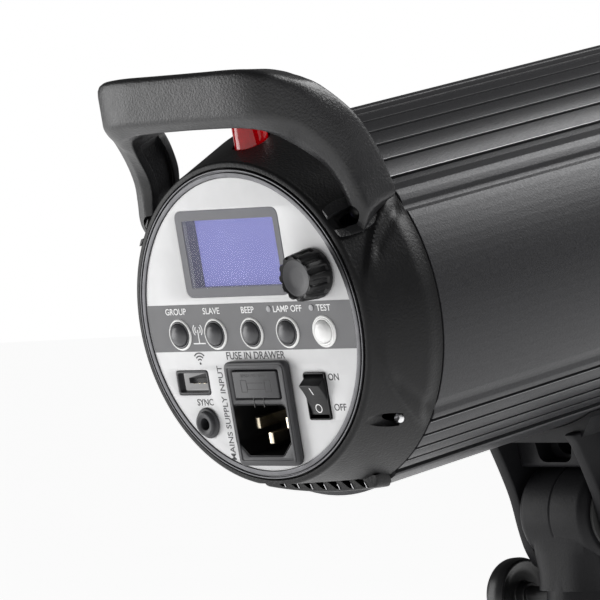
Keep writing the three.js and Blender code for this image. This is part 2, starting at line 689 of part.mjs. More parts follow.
function clampKnob() {
  const disc = turned([
    [0, -36.8], [10, -36.8], [12.2, -34], [12.6, -29.5], [11.6, -27.6], [8.5, -28.6],
    [4.2, -28], [4.2, -24.6], [0, -24.6],
  ], 36);
  const shank = rod(2.9, -25, -SPIGOT_R - 0.6, 16);
  return alongX(join(disc, shank)).translate(0, 0, CLAMP_Z);
}

// ---- assembly -----------------------------------------------------------------------------
add(stand, 'stand_adapter', standAdapter(), BRACKET);
add(stand, 'clamp_knob', clampKnob(), DARK);

add(head, 'rear_shell', rearShell(), SHELL);
add(head, 'main_housing', mainHousing(), SHELL);
add(head, 'front_shell', frontShell(), SHELL);
add(head, 'bayonet_ring', bayonetRing(), METAL);
add(head, 'bayonet_lock', bayonetLock(), DARK);
add(head, 'reflector_plate', reflectorPlate(), WHITE);
add(head, 'flash_tube', flashTube(), GLASS);
add(head, 'modelling_lamp', modellingLamp(), GLASS);
add(head, 'lamp_holder', lampHolder(), CERAMIC);
add(head, 'carry_handle', handle(), SHELL);

const PANEL_RING = [[PANEL_R + GAP, -0.6], [49.5, -0.6], [49.5, 2.6], [PANEL_R + GAP, 2.6]];
add(head, 'panel_ring', turnedRing(PANEL_RING, 40), METAL);
add(head, 'control_panel', controlPanel(), WHITE);
add(head, 'display_window', displayWindow(), GLASS);
add(head, 'display_module', block(-25, 18, 3, 8.5, 10, 36), SCREEN);
add(head, 'display_board', displayBoard(), BOARD);
add(head, 'dial_knob', dialKnob(), DARK);
add(head, 'dial_shaft', dialShaft(), METAL);
add(head, 'dial_encoder', dialEncoder(), METAL);
BUTTON_XS.forEach((x, i) => add(head, `button_${i + 1}`, button(x), i === 4 ? WHITE : GREY));
add(head, 'usb_shell', usbShell(), METAL);
add(head, 'usb_tongue', usbTongue(), WHITE);
add(head, 'sync_jack', syncJack(), DARK);
add(head, 'inlet_housing', inletHousing(), DARK);
add(head, 'fuse_drawer', fuseDrawer(), DARK);
add(head, 'fuse', fuse(), GLASS);
['live', 'neutral', 'earth'].forEach((name, i) => {
  add(head, `inlet_pin_${name}`, inletPin(INLET_PINS[i]), METAL);
});
add(head, 'switch_frame', switchFrame(), DARK);
add(head, 'switch_rocker', switchRocker(), DARK);

add(head, 'vent_foot', ventFoot(), DARK);
add(head, 'sensor_bezel', sensorBezel(), DARK);
add(head, 'sensor_cap', sensorCap(), RED);

[[-1, 'left'], [1, 'right']].forEach(([side, name]) => {
  add(head, `handle_screw_${name}`, join(rod(2.9, 10.4, 12.7, 16), rod(1.5, 12, 38, 12))
    .translate(side * SCREW.x, 0, SCREW.z), METAL);
  add(head, `shell_screw_${name}`, join(
    rod(LOW_SCREW.head, LOW_SCREW.y, LOW_SCREW.y + HEAD_T, 16), rod(1.5, LOW_SCREW.y + 2, 38, 12),
  ).translate(side * LOW_SCREW.x, 0, LOW_SCREW.z), METAL);
});

add(head, 'chassis_plate', block(-47, 47, 32, 200, -24, -22.4), METAL);
add(head, 'main_board', block(-44, 44, 36, 194, -18, -16.4), BOARD);
add(head, 'trigger_transformer', block(-12, 12, 66, 92, -16, -9.2), COPPER);
[[-18.5, 74], [18.5, 74], [-18.5, 136], [18.5, 136]].forEach(([x, y], i) => {
  add(head, `capacitor_${i + 1}`, capacitor(x, y), DARK);
});
add(head, 'fan_frame', fanFrame(), DARK);
add(head, 'fan_rotor', fanRotor(), DARK);

add(head, 'bracket_yoke', bracketYoke(), BRACKET);
add(head, 'bracket_bolt_left', bracketBolt(-1), METAL);
add(head, 'bracket_bolt_right', bracketBolt(1), METAL);
add(head, 'umbrella_screw', umbrellaScrew(), DARK);
add(head, 'tilt_bolt', tiltBolt(), METAL);
add(head, 'tilt_lever', tiltLever(), DARK);
add(head, 'friction_washer_left', frictionWasher(-1), DARK);
add(head, 'friction_washer_right', frictionWasher(1), DARK);

export default group;
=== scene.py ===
"""Studio monolight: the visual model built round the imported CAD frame."""

import json
import math

import bmesh
import bpy
from mathutils import Matrix, Vector
from mathutils.geometry import tessellate_polygon


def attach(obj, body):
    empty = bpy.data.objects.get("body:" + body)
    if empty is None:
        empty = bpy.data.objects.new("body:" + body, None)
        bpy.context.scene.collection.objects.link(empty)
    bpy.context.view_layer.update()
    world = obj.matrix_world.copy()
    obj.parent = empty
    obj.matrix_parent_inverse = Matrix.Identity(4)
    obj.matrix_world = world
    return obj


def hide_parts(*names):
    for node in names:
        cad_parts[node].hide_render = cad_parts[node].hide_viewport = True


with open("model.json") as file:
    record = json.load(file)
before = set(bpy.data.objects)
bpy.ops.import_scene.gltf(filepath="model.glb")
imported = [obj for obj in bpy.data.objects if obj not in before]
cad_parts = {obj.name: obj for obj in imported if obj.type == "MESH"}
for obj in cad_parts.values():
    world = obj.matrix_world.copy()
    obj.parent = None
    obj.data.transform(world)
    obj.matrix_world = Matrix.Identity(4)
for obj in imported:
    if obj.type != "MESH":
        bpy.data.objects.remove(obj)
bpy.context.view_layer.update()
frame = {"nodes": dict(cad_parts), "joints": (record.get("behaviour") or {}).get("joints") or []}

MM = 0.001

# ---- the head's own frame ------------------------------------------------------------------
# Millimetres, origin at the rear panel's centre, +Y towards the light, +Z up. HEAD places it
# in the row frame, from the tilt pivot and the direction of the fan's axis.
JOINTS = {joint["name"]: joint for joint in frame["joints"]}
FORWARD = Vector(JOINTS["fan_spin"]["axis"])
PIVOT = Vector(JOINTS["head_tilt"]["pos_m"])
TILT = math.atan2(FORWARD.z, FORWARD.y)
PIVOT_Y, PIVOT_Z = 136, -93
HEAD = (Matrix.Translation(PIVOT) @ Matrix.Rotation(TILT, 4, "X")
        @ Matrix.Translation((0, -PIVOT_Y * MM, -PIVOT_Z * MM)))
UPRIGHT = Matrix.Identity(4)

# ---- driving sizes, in millimetres ---------------------------------------------------------
BODY_R = 60
RIB_R = 58
KEEL_R = 61
BORE_R = 53.5
SEAM_Y = 25
FRONT_Y = 265
MOUNT_Y = 300
PANEL_R = 47
WINDOW = (-2.9, 23.1, 47, 27.8)
SCREEN = (-1.5, 23.0, 36.4, 21.4)
BUTTON_XS = (-32.6, -16.1, 0.6, 16.8, 33.1)
BUTTON_Z = -2.65
BAND = (-8.2, 7.0)
DIAL_X, DIAL_Z = 33.7, 15.8
INLET_X, INLET_Z = 1.5, -28.1
INLET_BODY = (1.2, INLET_Z, 26, 30.4)
APERTURE = (0.9, -33.3, 24.3, 16.4)
DRAWER_Z = -18.6
ROCKER_X, ROCKER_Z = 25.7, -23
ROCKER_TILT = math.radians(20)
ROCKER_PIVOT = 1
USB_X, USB_Z = -30.5, -18.3
USB_CONTACTS = 4
JACK_X, JACK_Z = -26.2, -31.4
SCREW_X, SCREW_Z = 44, 32.5
SENSOR_Y = 13.7
CLAMP_Z = JOINTS["stand_clamp_turn"]["pos_m"][2] / MM
UMBRELLA_Y, UMBRELLA_Z = 143, -68.5
BOLT_X, BOLT_Y = 12, 190                 # the bracket's bolts
LEG_X, LEG_Z = 9, -31.5                  # the flash tube's legs
PIVOT_BORE = 4.3
SIDES = ((-1, "left"), (1, "right"))
WELD = 0.0005                            # points closer than this are one


# ---- outlines ------------------------------------------------------------------------------
def corner(before, here, after, radius, steps=4):
    """The points of one eased corner; the curve takes less than half of either side."""
    r = min(radius, 0.45 * (before - here).length, 0.45 * (after - here).length)
    start = here + (before - here).normalized() * r
    end = here + (after - here).normalized() * r
    curve = [k / steps for k in range(steps + 1)]
    return [tuple((1 - t) ** 2 * start + 2 * t * (1 - t) * here + t * t * end) for t in curve], r


def rounded(points, radius, steps=4):
    """A closed outline whose corners are eased; a point may carry its own radius."""
    out = []
    flat = [Vector(point[:2]) for point in points]
    for i, point in enumerate(points):
        wanted = point[2] if len(point) > 2 else radius
        curve, r = corner(flat[i - 1], flat[i], flat[(i + 1) % len(flat)], wanted, steps)
        out += curve if r >= 1e-3 else [tuple(flat[i])]
    return out


def rect(cx, cy, w, h, radius=0.8, steps=5):
    corners = [(cx - w / 2, cy - h / 2), (cx + w / 2, cy - h / 2),
               (cx + w / 2, cy + h / 2), (cx - w / 2, cy + h / 2)]
    return rounded(corners, radius, steps)


def circle(cx, cy, r, n=48):
    return [(cx + r * math.cos(2 * math.pi * i / n), cy + r * math.sin(2 * math.pi * i / n))
            for i in range(n)]


def signed_area(ring):
    return sum(a[0] * b[1] - b[0] * a[1] for a, b in zip(ring, ring[1:] + ring[:1])) / 2


def moved_in(ring, distance):
    """The ring with every point moved to its left, which is into the material."""
    out = []
    for i, point in enumerate(ring):
        here = Vector(point)
        d1 = (here - Vector(ring[i - 1])).normalized()
        d2 = (Vector(ring[(i + 1) % len(ring)]) - here).normalized()
        n1, n2 = Vector((-d1.y, d1.x)), Vector((-d2.y, d2.x))
        mid = n1 + n2
        if mid.length < 1e-6:
            mid = n1
        mid.normalize()
        out.append(tuple(here + mid * distance / max(mid.dot(n1), 0.5)))
    return out


# ---- meshes --------------------------------------------------------------------------------
def mesh_object(name, verts, faces, angle=35):
    mesh = bpy.data.meshes.new(name)
    mesh.from_pydata([(x * MM, y * MM, z * MM) for x, y, z in verts], [], faces)
    bm = bmesh.new()
    bm.from_mesh(mesh)
    bmesh.ops.remove_doubles(bm, verts=bm.verts, dist=WELD * MM)
    bmesh.ops.dissolve_degenerate(bm, edges=bm.edges, dist=1e-7)
    bmesh.ops.recalc_face_normals(bm, faces=bm.faces)
    bm.to_mesh(mesh)
    bm.free()
    obj = bpy.data.objects.new(name, mesh)
    bpy.context.scene.collection.objects.link(obj)
    soften(obj, angle)
    return obj


def soften(obj, angle=35):
    obj.data.shade_smooth()
    obj.data.set_sharp_from_angle(angle=math.radians(angle))


def plate(name, outer, holes, low, high, ease=0.25, axis="Y", angle=35):
    """An outline with holes, given depth along an axis, with eased edges all round."""
    rings = []
    for ring, turn in [(outer, 1)] + [(hole, -1) for hole in holes]:
        ring = list(ring)
        rings.append(ring if signed_area(ring) * turn > 0 else ring[::-1])
    ease = min(ease, (high - low) * 0.45)
    steps = 3 if ease > 0.05 else 0
    levels = [(ease * (1 - math.sin(math.pi / 2 * k / max(steps, 1))),
               ease * (1 - math.cos(math.pi / 2 * k / max(steps, 1)))) for k in range(steps + 1)]
    rows = [(inset, low + depth) for inset, depth in levels]
    rows += [(inset, high - depth) for inset, depth in reversed(levels)]
    verts, faces, caps = [], [], {0: [], len(rows) - 1: []}
    for ring in rings:
        starts = []
        for r, (inset, depth) in enumerate(rows):
            starts.append(len(verts))
            flat = moved_in(ring, inset) if inset > 1e-6 else ring
            verts += [lay(x, z, depth, axis) for x, z in flat]
            if r in caps:
                caps[r].append((starts[-1], flat))
        n = len(ring)
        for a, b in zip(starts, starts[1:]):
            faces += [(a + i, a + (i + 1) % n, b + (i + 1) % n, b + i) for i in range(n)]
    for row in caps.values():
        index = [start + i for start, flat in row for i in range(len(flat))]
        loops = [[Vector((x, z, 0)) for x, z in flat] for _, flat in row]
        faces += [tuple(index[i] for i in tri) for tri in tessellate_polygon(loops)]
    return mesh_object(name, verts, faces, angle)


def lay(u, v, depth, axis):
    """Outline coordinates to space: across and up, with depth along the axis."""
    if axis == "Y":
        return (u, depth, v)
    if axis == "X":
        return (depth, u, v)
    return (u, v, depth)


def lathe(name, profile, segments=96, ring=False, axis="Y", centre=(0, 0, 0), angle=35):
    """A profile of (radius, along) turned about an axis; a ring's profile closes on itself."""
    verts, rows, faces = [], [], []
    for r, along in profile:
        if r < 1e-6:
            rows.append([len(verts)] * segments)
            verts.append(lay(0, 0, along, axis))
            continue
        rows.append(list(range(len(verts), len(verts) + segments)))
        verts += [lay(u, v, along, axis) for u, v in circle(0, 0, r, segments)]
    for a, b in zip(rows, rows[1:] + (rows[:1] if ring else [])):
        for i in range(segments):
            j = (i + 1) % segments
            face = list(dict.fromkeys((a[i], a[j], b[j], b[i])))
            if len(face) > 2:
                faces.append(tuple(face))
    verts = [tuple(v + c for v, c in zip(vert, centre)) for vert in verts]
    return mesh_object(name, verts, faces, angle)


def turned(name, profile, radius=0.3, **options):
    """A solid of revolution: the profile starts and ends on the axis, other corners eased."""
    eased = rounded([(*profile[0], 0), *profile[1:-1], (*profile[-1], 0)], radius)
    return lathe(name, eased, **options)


def turned_ring(name, profile, radius=0.3, **options):
    return lathe(name, rounded(profile, radius), ring=True, **options)


def loft(name, sections, angle=35, closed=False):
    """Rings of equal count joined in order. The end rings are capped, or joined when closed."""
    n = len(sections[0])
    verts = [p for section in sections for p in section]
    starts = list(range(0, len(verts), n))
    faces = [(a + i, a + (i + 1) % n, b + (i + 1) % n, b + i)
             for a, b in zip(starts, starts[1:] + starts[:1] * closed) for i in range(n)]
    if not closed:
        faces += [tuple(range(n)), tuple(range(len(verts) - n, len(verts)))]
    return mesh_object(name, verts, faces, angle)


def block(outline, low, high, axis="Y", name="block", holes=()):
    """An outline given depth with sharp edges, mostly to cut with."""
    return plate(name, outline, holes, low, high, 0, axis)


def box_mesh(name, low, high, ease=0.3):
    outline = rect((low[0] + high[0]) / 2, (low[2] + high[2]) / 2,
                   high[0] - low[0], high[2] - low[2], ease)
    return plate(name, outline, [], low[1], high[1], ease)


def carve(obj, *tools, operation="DIFFERENCE", angle=35):
    """Cuts the tools from obj, or joins them to it, and removes them."""
    for tool in tools:
        modifier = obj.modifiers.new("carve", "BOOLEAN")
        modifier.object = tool
        modifier.operation = operation
        modifier.solver = "EXACT"
    bpy.context.view_layer.update()
    evaluated = obj.evaluated_get(bpy.context.evaluated_depsgraph_get())
    mesh = bpy.data.meshes.new_from_object(evaluated)
    obj.modifiers.clear()
    obj.data = mesh
    for tool in tools:
        bpy.data.objects.remove(tool)
    soften(obj, angle)
    return obj


def joined(obj, *others):
    """Several meshes as one object, such as the parts of a printed legend."""
    bm = bmesh.new()
    for part in (obj, *others):
        bm.from_mesh(part.data)
    bm.to_mesh(obj.data)
    bm.free()
    for part in others:
        bpy.data.objects.remove(part)
    soften(obj)
    return obj


def shifted(obj, matrix):
    obj.data.transform(matrix)
    return obj


def lettering(name, text, x, z, size, depth, turn=0.0):
    """Plain words laid on the rear face."""
    font = bpy.data.curves.new(name, "FONT")
    font.body = text
    font.size = size * MM
    font.align_x = "CENTER"
    font.align_y = "CENTER"
    font.extrude = 0.02 * MM
    font.offset = 0.03 * MM
    font.resolution_u = 4
    holder = bpy.data.objects.new(name, font)
    bpy.context.scene.collection.objects.link(holder)
    bpy.context.view_layer.update()
    evaluated = holder.evaluated_get(bpy.context.evaluated_depsgraph_get())
    mesh = bpy.data.meshes.new_from_object(evaluated)
    bpy.data.objects.remove(holder)
    mesh.transform(Matrix.Translation((x * MM, depth * MM, z * MM))
                   @ Matrix.Rotation(-turn, 4, "Y") @ Matrix.Rotation(math.pi / 2, 4, "X"))
    obj = bpy.data.objects.new(name, mesh)
    bpy.context.scene.collection.objects.link(obj)
    return obj


# ---- materials -----------------------------------------------------------------------------
class Look:
    """A node material with colour variation, roughness variation and a fine surface grain."""

    def __init__(self, name, color, roughness, metallic=0.0):
        self.material = bpy.data.materials.new(name)
        self.material.use_nodes = True
        self.tree = self.material.node_tree
        self.shader = self.tree.nodes["Principled BSDF"]
        self.shader.inputs["Metallic"].default_value = metallic
        self.shader.inputs["Roughness"].default_value = roughness
        self.color = color
        self.roughness = roughness
        self.place = self.node("ShaderNodeTexCoord").outputs["Object"]
        self.height = None

    def node(self, kind, **settings):
        made = self.tree.nodes.new(kind)
        for key, value in settings.items():
            setattr(made, key, value)
        return made

    def link(self, source, target):
        self.tree.links.new(source, target)

    def noise(self, size, detail, stretch=None):
        """Noise whose lumps are about size millimetres across."""
        texture = self.node("ShaderNodeTexNoise")
        texture.inputs["Scale"].default_value = 1 / (size * MM)
        texture.inputs["Detail"].default_value = detail
        source = self.place
        if stretch:
            mapping = self.node("ShaderNodeMapping")
            mapping.inputs["Scale"].default_value = stretch
            self.link(source, mapping.inputs["Vector"])
            source = mapping.outputs["Vector"]
        self.link(source, texture.inputs["Vector"])
        return texture.outputs["Fac"]

    def ramp(self, source, low, high, start=0.35, end=0.65):
        ramp = self.node("ShaderNodeMapRange")
        ramp.inputs["From Min"].default_value = start
        ramp.inputs["From Max"].default_value = end
        ramp.inputs["To Min"].default_value = low
        ramp.inputs["To Max"].default_value = high
        self.link(source, ramp.inputs["Value"])
        return ramp.outputs["Result"]

    def mottle(self, size, amount):
        """Base colour that drifts a little darker and lighter."""
        mix = self.node("ShaderNodeMix", data_type="RGBA")
        mix.inputs["A"].default_value = (*[c * (1 - amount) for c in self.color], 1)
        mix.inputs["B"].default_value = (*[min(c * (1 + amount), 1) for c in self.color], 1)
        self.link(self.ramp(self.noise(size, 4.0), 0, 1), mix.inputs["Factor"])
        self.link(mix.outputs["Result"], self.shader.inputs["Base Color"])
        return self

    def gloss(self, size, amount, stretch=None):
        value = self.ramp(self.noise(size, 4.0, stretch),
                          self.roughness * (1 - amount), min(self.roughness * (1 + amount), 1))
        self.link(value, self.shader.inputs["Roughness"])
        return self

    def grain(self, size, depth, stretch=None):
        """Bump of about depth millimetres, with lumps of size millimetres."""
        bump = self.node("ShaderNodeBump")
        bump.inputs["Strength"].default_value = 1.0
        bump.inputs["Distance"].default_value = depth * MM
        self.link(self.noise(size, 2.0, stretch), bump.inputs["Height"])
        if self.height:
            self.link(self.height, bump.inputs["Normal"])
        self.height = bump.outputs["Normal"]
        self.link(self.height, self.shader.inputs["Normal"])
        return self

    def set(self, **values):
        for key, value in values.items():
            self.shader.inputs[key.replace("_", " ")].default_value = value
        return self


def plastic(name, color, roughness, grain_size=0.7, grain_depth=0.05, specular=0.5):
    look = Look(name, color, roughness).mottle(14, 0.04).gloss(5, 0.05)
    return look.grain(grain_size, grain_depth).set(Specular_IOR_Level=specular).material


def metal(name, color, roughness, stretch=(1, 1, 1)):
    look = Look(name, color, roughness, 1.0).mottle(12, 0.03).gloss(4, 0.08, stretch)
    return look.grain(0.4, 0.002, stretch).material


def clear(name, color, roughness, ior):
    look = Look(name, color, roughness).mottle(20, 0).gloss(8, 0.3)
    return look.set(Transmission_Weight=1.0, IOR=ior).material


def glowing(name, color, strength):
    look = Look(name, tuple(0.35 * c for c in color), 0.6).mottle(30, 0.06).gloss(10, 0.1)
    look.set(Emission_Color=(*color, 1), Emission_Strength=strength, Specular_IOR_Level=0.1)
    return look.material


def barrel_paint():
    look = Look("barrel_paint", (0.024, 0.024, 0.026), 0.42, 0.25).mottle(0.6, 0.15)
    return look.gloss(0.7, 0.12).grain(0.6, 0.06).set(Specular_IOR_Level=0.35).material


def lamp_glass():
    look = Look("frosted_glass", (0.93, 0.93, 0.9), 0.35).mottle(12, 0.02).gloss(3, 0.1)
    return look.set(Transmission_Weight=0.55, IOR=1.45).grain(0.5, 0.01).material


def red_lens_painted_glow():
    look = Look("red_lens_painted_glow", (0.4, 0.0, 0.003), 0.07).mottle(5, 0.12).gloss(4, 0.3)
    look.set(Transmission_Weight=0.35, IOR=1.5)
    # The red lens is its own colour; the emission is painted light, a red glow that brightens it though
    # nothing in it is lit.
    return look.set(Emission_Color=(0.6, 0.0, 0.004, 1), Emission_Strength=0.12).material


def board_green():
    look = Look("board_green", (0.012, 0.11, 0.045), 0.4).mottle(3, 0.25).gloss(2, 0.2)
    return look.grain(1.5, 0.05).material


M = {
    # shell and handle are one plastic in two copies: the shell's is darker with less sheen as painted
    # shade, the handle's lighter with more sheen as painted highlight
    "shell": plastic("shell_plastic_painted_shade", (0.007, 0.007, 0.0075), 0.42, 0.8, 0.12, 0.2),
    "handle": plastic("handle_plastic_painted_sheen", (0.010, 0.010, 0.011), 0.4, 0.8, 0.14, 0.45),
    "barrel": barrel_paint(),
    "dark": plastic("black_plastic", (0.007, 0.007, 0.0075), 0.36, 0.5, 0.02, 0.3),
    "charcoal": plastic("charcoal_plastic", (0.035, 0.035, 0.038), 0.42, 0.5, 0.03, 0.35),
    "panel": plastic("panel_white", (0.6, 0.6, 0.605), 0.38, 0.4, 0.006),
    "band": plastic("band_grey", (0.075, 0.075, 0.08), 0.4, 0.4, 0.006),
    "surround": plastic("screen_surround", (0.05, 0.05, 0.062), 0.35, 0.4, 0.004),
    # painted light: the strip and the well glow in place of the lamplight that the window glass blocks
    "strip": glowing("screen_strip_painted_light", (0.10, 0.10, 0.14), 0.9),
    "wall": glowing("screen_wall_painted_light", (0.17, 0.17, 0.2), 0.9),
    # painted light: the USB can's tin glows, lighting its inside walls that the lamps don't reach
    "bright": glowing("tin_painted_light", (0.66, 0.66, 0.66), 0.42),
    "core": plastic("sensor_core", (0.35, 0.004, 0.004), 0.35, 0.5, 0.01),
    "key": plastic("key_grey", (0.06, 0.06, 0.064), 0.33, 0.5, 0.008),
    "key_white": plastic("key_white", (0.82, 0.82, 0.81), 0.25, 0.5, 0.004),
    "dot": plastic("indicator_grey", (0.3, 0.3, 0.31), 0.35, 0.4, 0.004),
    "ink": plastic("ink_dark", (0.03, 0.03, 0.032), 0.5, 0.3, 0.002),
    "ink_white": plastic("ink_white", (0.75, 0.75, 0.75), 0.5, 0.3, 0.002),
    "screen": glowing("screen_blue", (0.235, 0.24, 0.5), 0.8),
    "glass": clear("clear_window", (0.95, 0.96, 1.0), 0.05, 1.08),
    "tube": clear("tube_glass", (0.95, 0.97, 1.0), 0.04, 1.46),
    "lamp": lamp_glass(),
    "red": red_lens_painted_glow(),
    "steel": metal("plated_steel", (0.6, 0.6, 0.61), 0.28),
    "dark_steel": metal("dark_steel", (0.13, 0.13, 0.135), 0.35),
    "pin": metal("pin_metal", (0.72, 0.64, 0.5), 0.25),
    "trim": metal("trim_ring", (0.11, 0.11, 0.115), 0.45),
    # painted highlight: light-grey strips along one side of each louvre slot, standing in for the light
    # they catch
    "louvre": metal("painted_louvre_highlight", (0.42, 0.42, 0.43), 0.4),
    # painted highlight: light-grey strips along the rib edges, standing in for the light they catch
    "edge": metal("painted_rib_highlight_metal", (0.2, 0.2, 0.205), 0.5),
    "bracket": plastic("bracket_paint", (0.008, 0.008, 0.009), 0.46, 0.7, 0.06, 0.14),
    "ceramic": plastic("ceramic", (0.68, 0.66, 0.6), 0.45, 0.8, 0.02),
    "reflector": plastic("reflector_white", (0.78, 0.78, 0.78), 0.35, 0.6, 0.01),
    "board": board_green(),
    "sleeve": plastic("capacitor_sleeve", (0.015, 0.02, 0.06), 0.28, 0.6, 0.01),
    "copper": metal("winding_copper", (0.55, 0.26, 0.1), 0.35, (1, 12, 1)),
    "rubber": plastic("rubber", (0.016, 0.016, 0.016), 0.65, 0.5, 0.03),
}


def piece(obj, look, body="head", nodes=(), place=HEAD):
    """Gives obj its material, its place, its body and the CAD nodes it stands for."""
    obj.data.materials.clear()
    obj.data.materials.append(M[look])
    obj.matrix_world = place
    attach(obj, body)
    if nodes:
        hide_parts(*nodes)
    return obj


# ---- rear shell ----------------------------------------------------------------------------
PAD_RISE = 1.6
FOOT_Y, FOOT_TOP = 18.4, -53.7
SHELL_SCREW = (44.2, 14.6, -33.2)
PLUG = (45.2, 31.8)
LOUVRES, LOUVRE_PITCH = 7, 6.15


def ease(value, low, high):
    t = min(max((value - low) / (high - low), 0), 1)
    return t * t * (3 - 2 * t)


def shell_radius(y, angle):
    """The cone, with a raised pad on each side that widens to the seam behind a soft valley."""
    cone = 52.2 + (BODY_R - 52.2) * max(y - 1.6, 0) / (SEAM_Y - 1.75)
    up = abs(cone * math.sin(angle))
    root = math.sqrt(max(y, 0))
    pad = PAD_RISE * ease(8.0 * root - up, 0, 1.1) * ease(y, 1.2, 5) * (1 - ease(y, 18, 24.6))
    valley = math.exp(-((up - 6.6 * root) / 2.0) ** 2) * ease(y, 6, 11) * (1 - ease(y, 21, 24.6))
    return cone + pad - 0.9 * valley


def rear_shell():
    rows = 46
    turns = [2 * math.pi * i / 288 for i in range(288)]
    end = SEAM_Y - 0.2
    profile = [("in", 49.9, 3), ("in", 49.9, 0.5), ("in", 50.2, 0.15), ("in", 51.2, 0.15)]
    profile += [("in", 51.8, 0.5), ("in", 52.1, 1.1)]
    profile += [("out", 0, 1.6 + (end - 0.4 - 1.6) * k / rows) for k in range(rows + 1)]
    profile += [("rim", -0.35, end), ("in", 57.4, end), ("in", 51.4, 6), ("in", 46, 6), ("in", 46, 3)]
    sections = []
    for kind, r, y in profile:
        radii = [r if kind == "in" else shell_radius(y, a) + (r if kind == "rim" else 0) for a in turns]
        around = zip(radii, turns)
        sections.append([(reach * math.cos(a), y, reach * math.sin(a)) for reach, a in around])
    shell = loft("rear_shell_skin", sections, 40, closed=True)
    x, y, z = SHELL_SCREW
    slab = [[(-half, y, z), (half, y, z), (half, y, z + 2.2), (-half, y, z + 2.2)]
            for y, z, half in ((4, -51.9, 9.5), (18, -54, 19.5))]
    carve(shell, loft("vent_floor", slab), operation="UNION", angle=40)
    facet = [[(-26.4, y, -66), (26.4, y, -66), (26.4, y, z), (-26.4, y, z)]
             for y, z in ((-1, -51), (FOOT_Y, FOOT_TOP), (SEAM_Y, FOOT_TOP))]
    tools = [loft("vent_facet", facet),
             lathe("sensor_well", [(0, 47), (6.3, 47), (6.3, 62), (0, 62)], 64, axis="Z",
                   centre=(0, SENSOR_Y, 0))]
    for side in (-1, 1):
        tools.append(block(circle(side * x, z, 2.7, 40), -3, y))
        tools.append(block(circle(side * x, z, 1.7, 24), y - 0.1, 24))
        tools.append(block(plug_outline(side), 3, 15))
    carve(shell, *tools, angle=40)
    piece(shell, "shell", nodes=["rear_shell"])


def plug_outline(side):
    """The oval hole in a handle's foot, leaning with the leg."""
    x, z = PLUG
    a, b, lean = 4.1, 3.1, math.radians(20)
    return [(side * (x + a * math.cos(t) * math.cos(lean) - b * math.sin(t) * math.sin(lean)),
             z + a * math.cos(t) * math.sin(lean) + b * math.sin(t) * math.cos(lean))
            for t in [2 * math.pi * i / 48 for i in range(48)]]


def shell_screws():
    for side, name in SIDES:
        x, y, z = SHELL_SCREW
        head = turned(f"shell_screw_{name}_head", [
            (0, y - 0.6), (1.1, y - 0.8), (1.8, y - 0.2), (1.9, y + 0.6), (1.5, y + 0.6), (1.5, 38),
            (0, 38)], 0.35, segments=40, centre=(side * x, 0, z))
        cross = [block(rect(side * x, z, w, h, 0.15), y - 1.4, y + 0.1)
                 for w, h in ((2.4, 0.6), (0.6, 2.4))]
        piece(carve(head, *cross), "steel", nodes=[f"shell_screw_{name}"])
        plug = turned(f"handle_screw_{name}_cap", [
            (0, 9.4), (1.6, 9.7, 1), (2.9, 11.4, 1), (2.9, 14), (1.5, 14), (1.5, 38), (0, 38)], 0.35,
            segments=40, centre=(side * SCREW_X, 0, SCREW_Z))
        piece(plug, "dark", nodes=[f"handle_screw_{name}"])


def vent_foot():
    """The keel's rear end: a block with a flat sole and seven slanted louvres in its rear wall."""
    def sole(x, y):
        return -58.2 - 0.17 * (y - 18.6) + 1.5 * (x / 24) ** 2

    across = range(-26, 27)
    sections = []
    for y, drop in ((18.5, 0.9), (18.6, 0.45), (18.9, 0.1), (19.3, 0), (21.5, 0), (24.7, 0)):
        low = [(x, y, sole(x, y) + drop + 1.2 * max(abs(x) - 24.8, 0)) for x in across]
        sections.append(low + [(x, y, -52.6) for x in reversed(across)])
    foot = loft("vent_foot_block", sections, 40)
    louvres, edges = [], []
    for i in range(LOUVRES):
        x = LOUVRE_PITCH * (i - (LOUVRES - 1) / 2)
        z = -55.9 + 1.2 * (x / 24) ** 2
        shape = [(x - 2.9, z + 1.25), (x + 1.4, z + 1.25), (x + 2.6, z - 1.35), (x + 1.0, z - 1.35)]
        louvres.append(block(rounded(shape, 0.4, 3), 17, 22.5))
        # A painted highlight: a light-grey strip along one slanted side of each louvre, where the light
        # catches it.
        edge = [(x + 1.9, z + 0.3), (x + 2.3, z + 0.3), (x + 3.1, z - 1.5), (x + 2.7, z - 1.5)]
        edges.append(plate("painted_louvre_highlight", edge, [], 18.25, 18.8, 0.1))
    piece(carve(foot, *louvres, angle=40), "shell", nodes=["vent_foot"])
    piece(joined(*edges), "louvre").name = "painted_louvre_highlights"


def sensor():
    centre = (0, SENSOR_Y, 0)
    bezel = turned_ring("sensor_collar", [(5.75, 46), (6.25, 46), (6.25, 54.2), (5.75, 54.2)], 0.2,
                        segments=64, axis="Z", centre=centre)
    piece(bezel, "dark", nodes=["sensor_bezel"])
    cap = turned("sensor_lens", [(0, 48), (5.5, 48), (5.5, 62, 1.2), (5.2, 64.0, 0.8),
                                 (4.2, 64.5, 0.6), (0, 64.5)], 0.5, segments=96, axis="Z",
                 centre=centre)
    piece(cap, "red", nodes=["sensor_cap"])
    core = turned("sensor_core", [(0, 48.2), (2.6, 48.2), (2.6, 58), (1.6, 60.4, 1), (0, 60.8)], 0.4,
                  segments=48, axis="Z", centre=centre)
    piece(core, "core")


# ---- barrel --------------------------------------------------------------------------------
def polar(radius, degrees):
    a = math.radians(degrees)
    return (radius * math.cos(a), radius * math.sin(a))


TOP_RIBS, RIB_START, RIB_PITCH = 7, 42.9, 7.25           # angles in degrees
LOW_RIBS, LOW_START, LOW_PITCH = 4, -61.2, 5.8


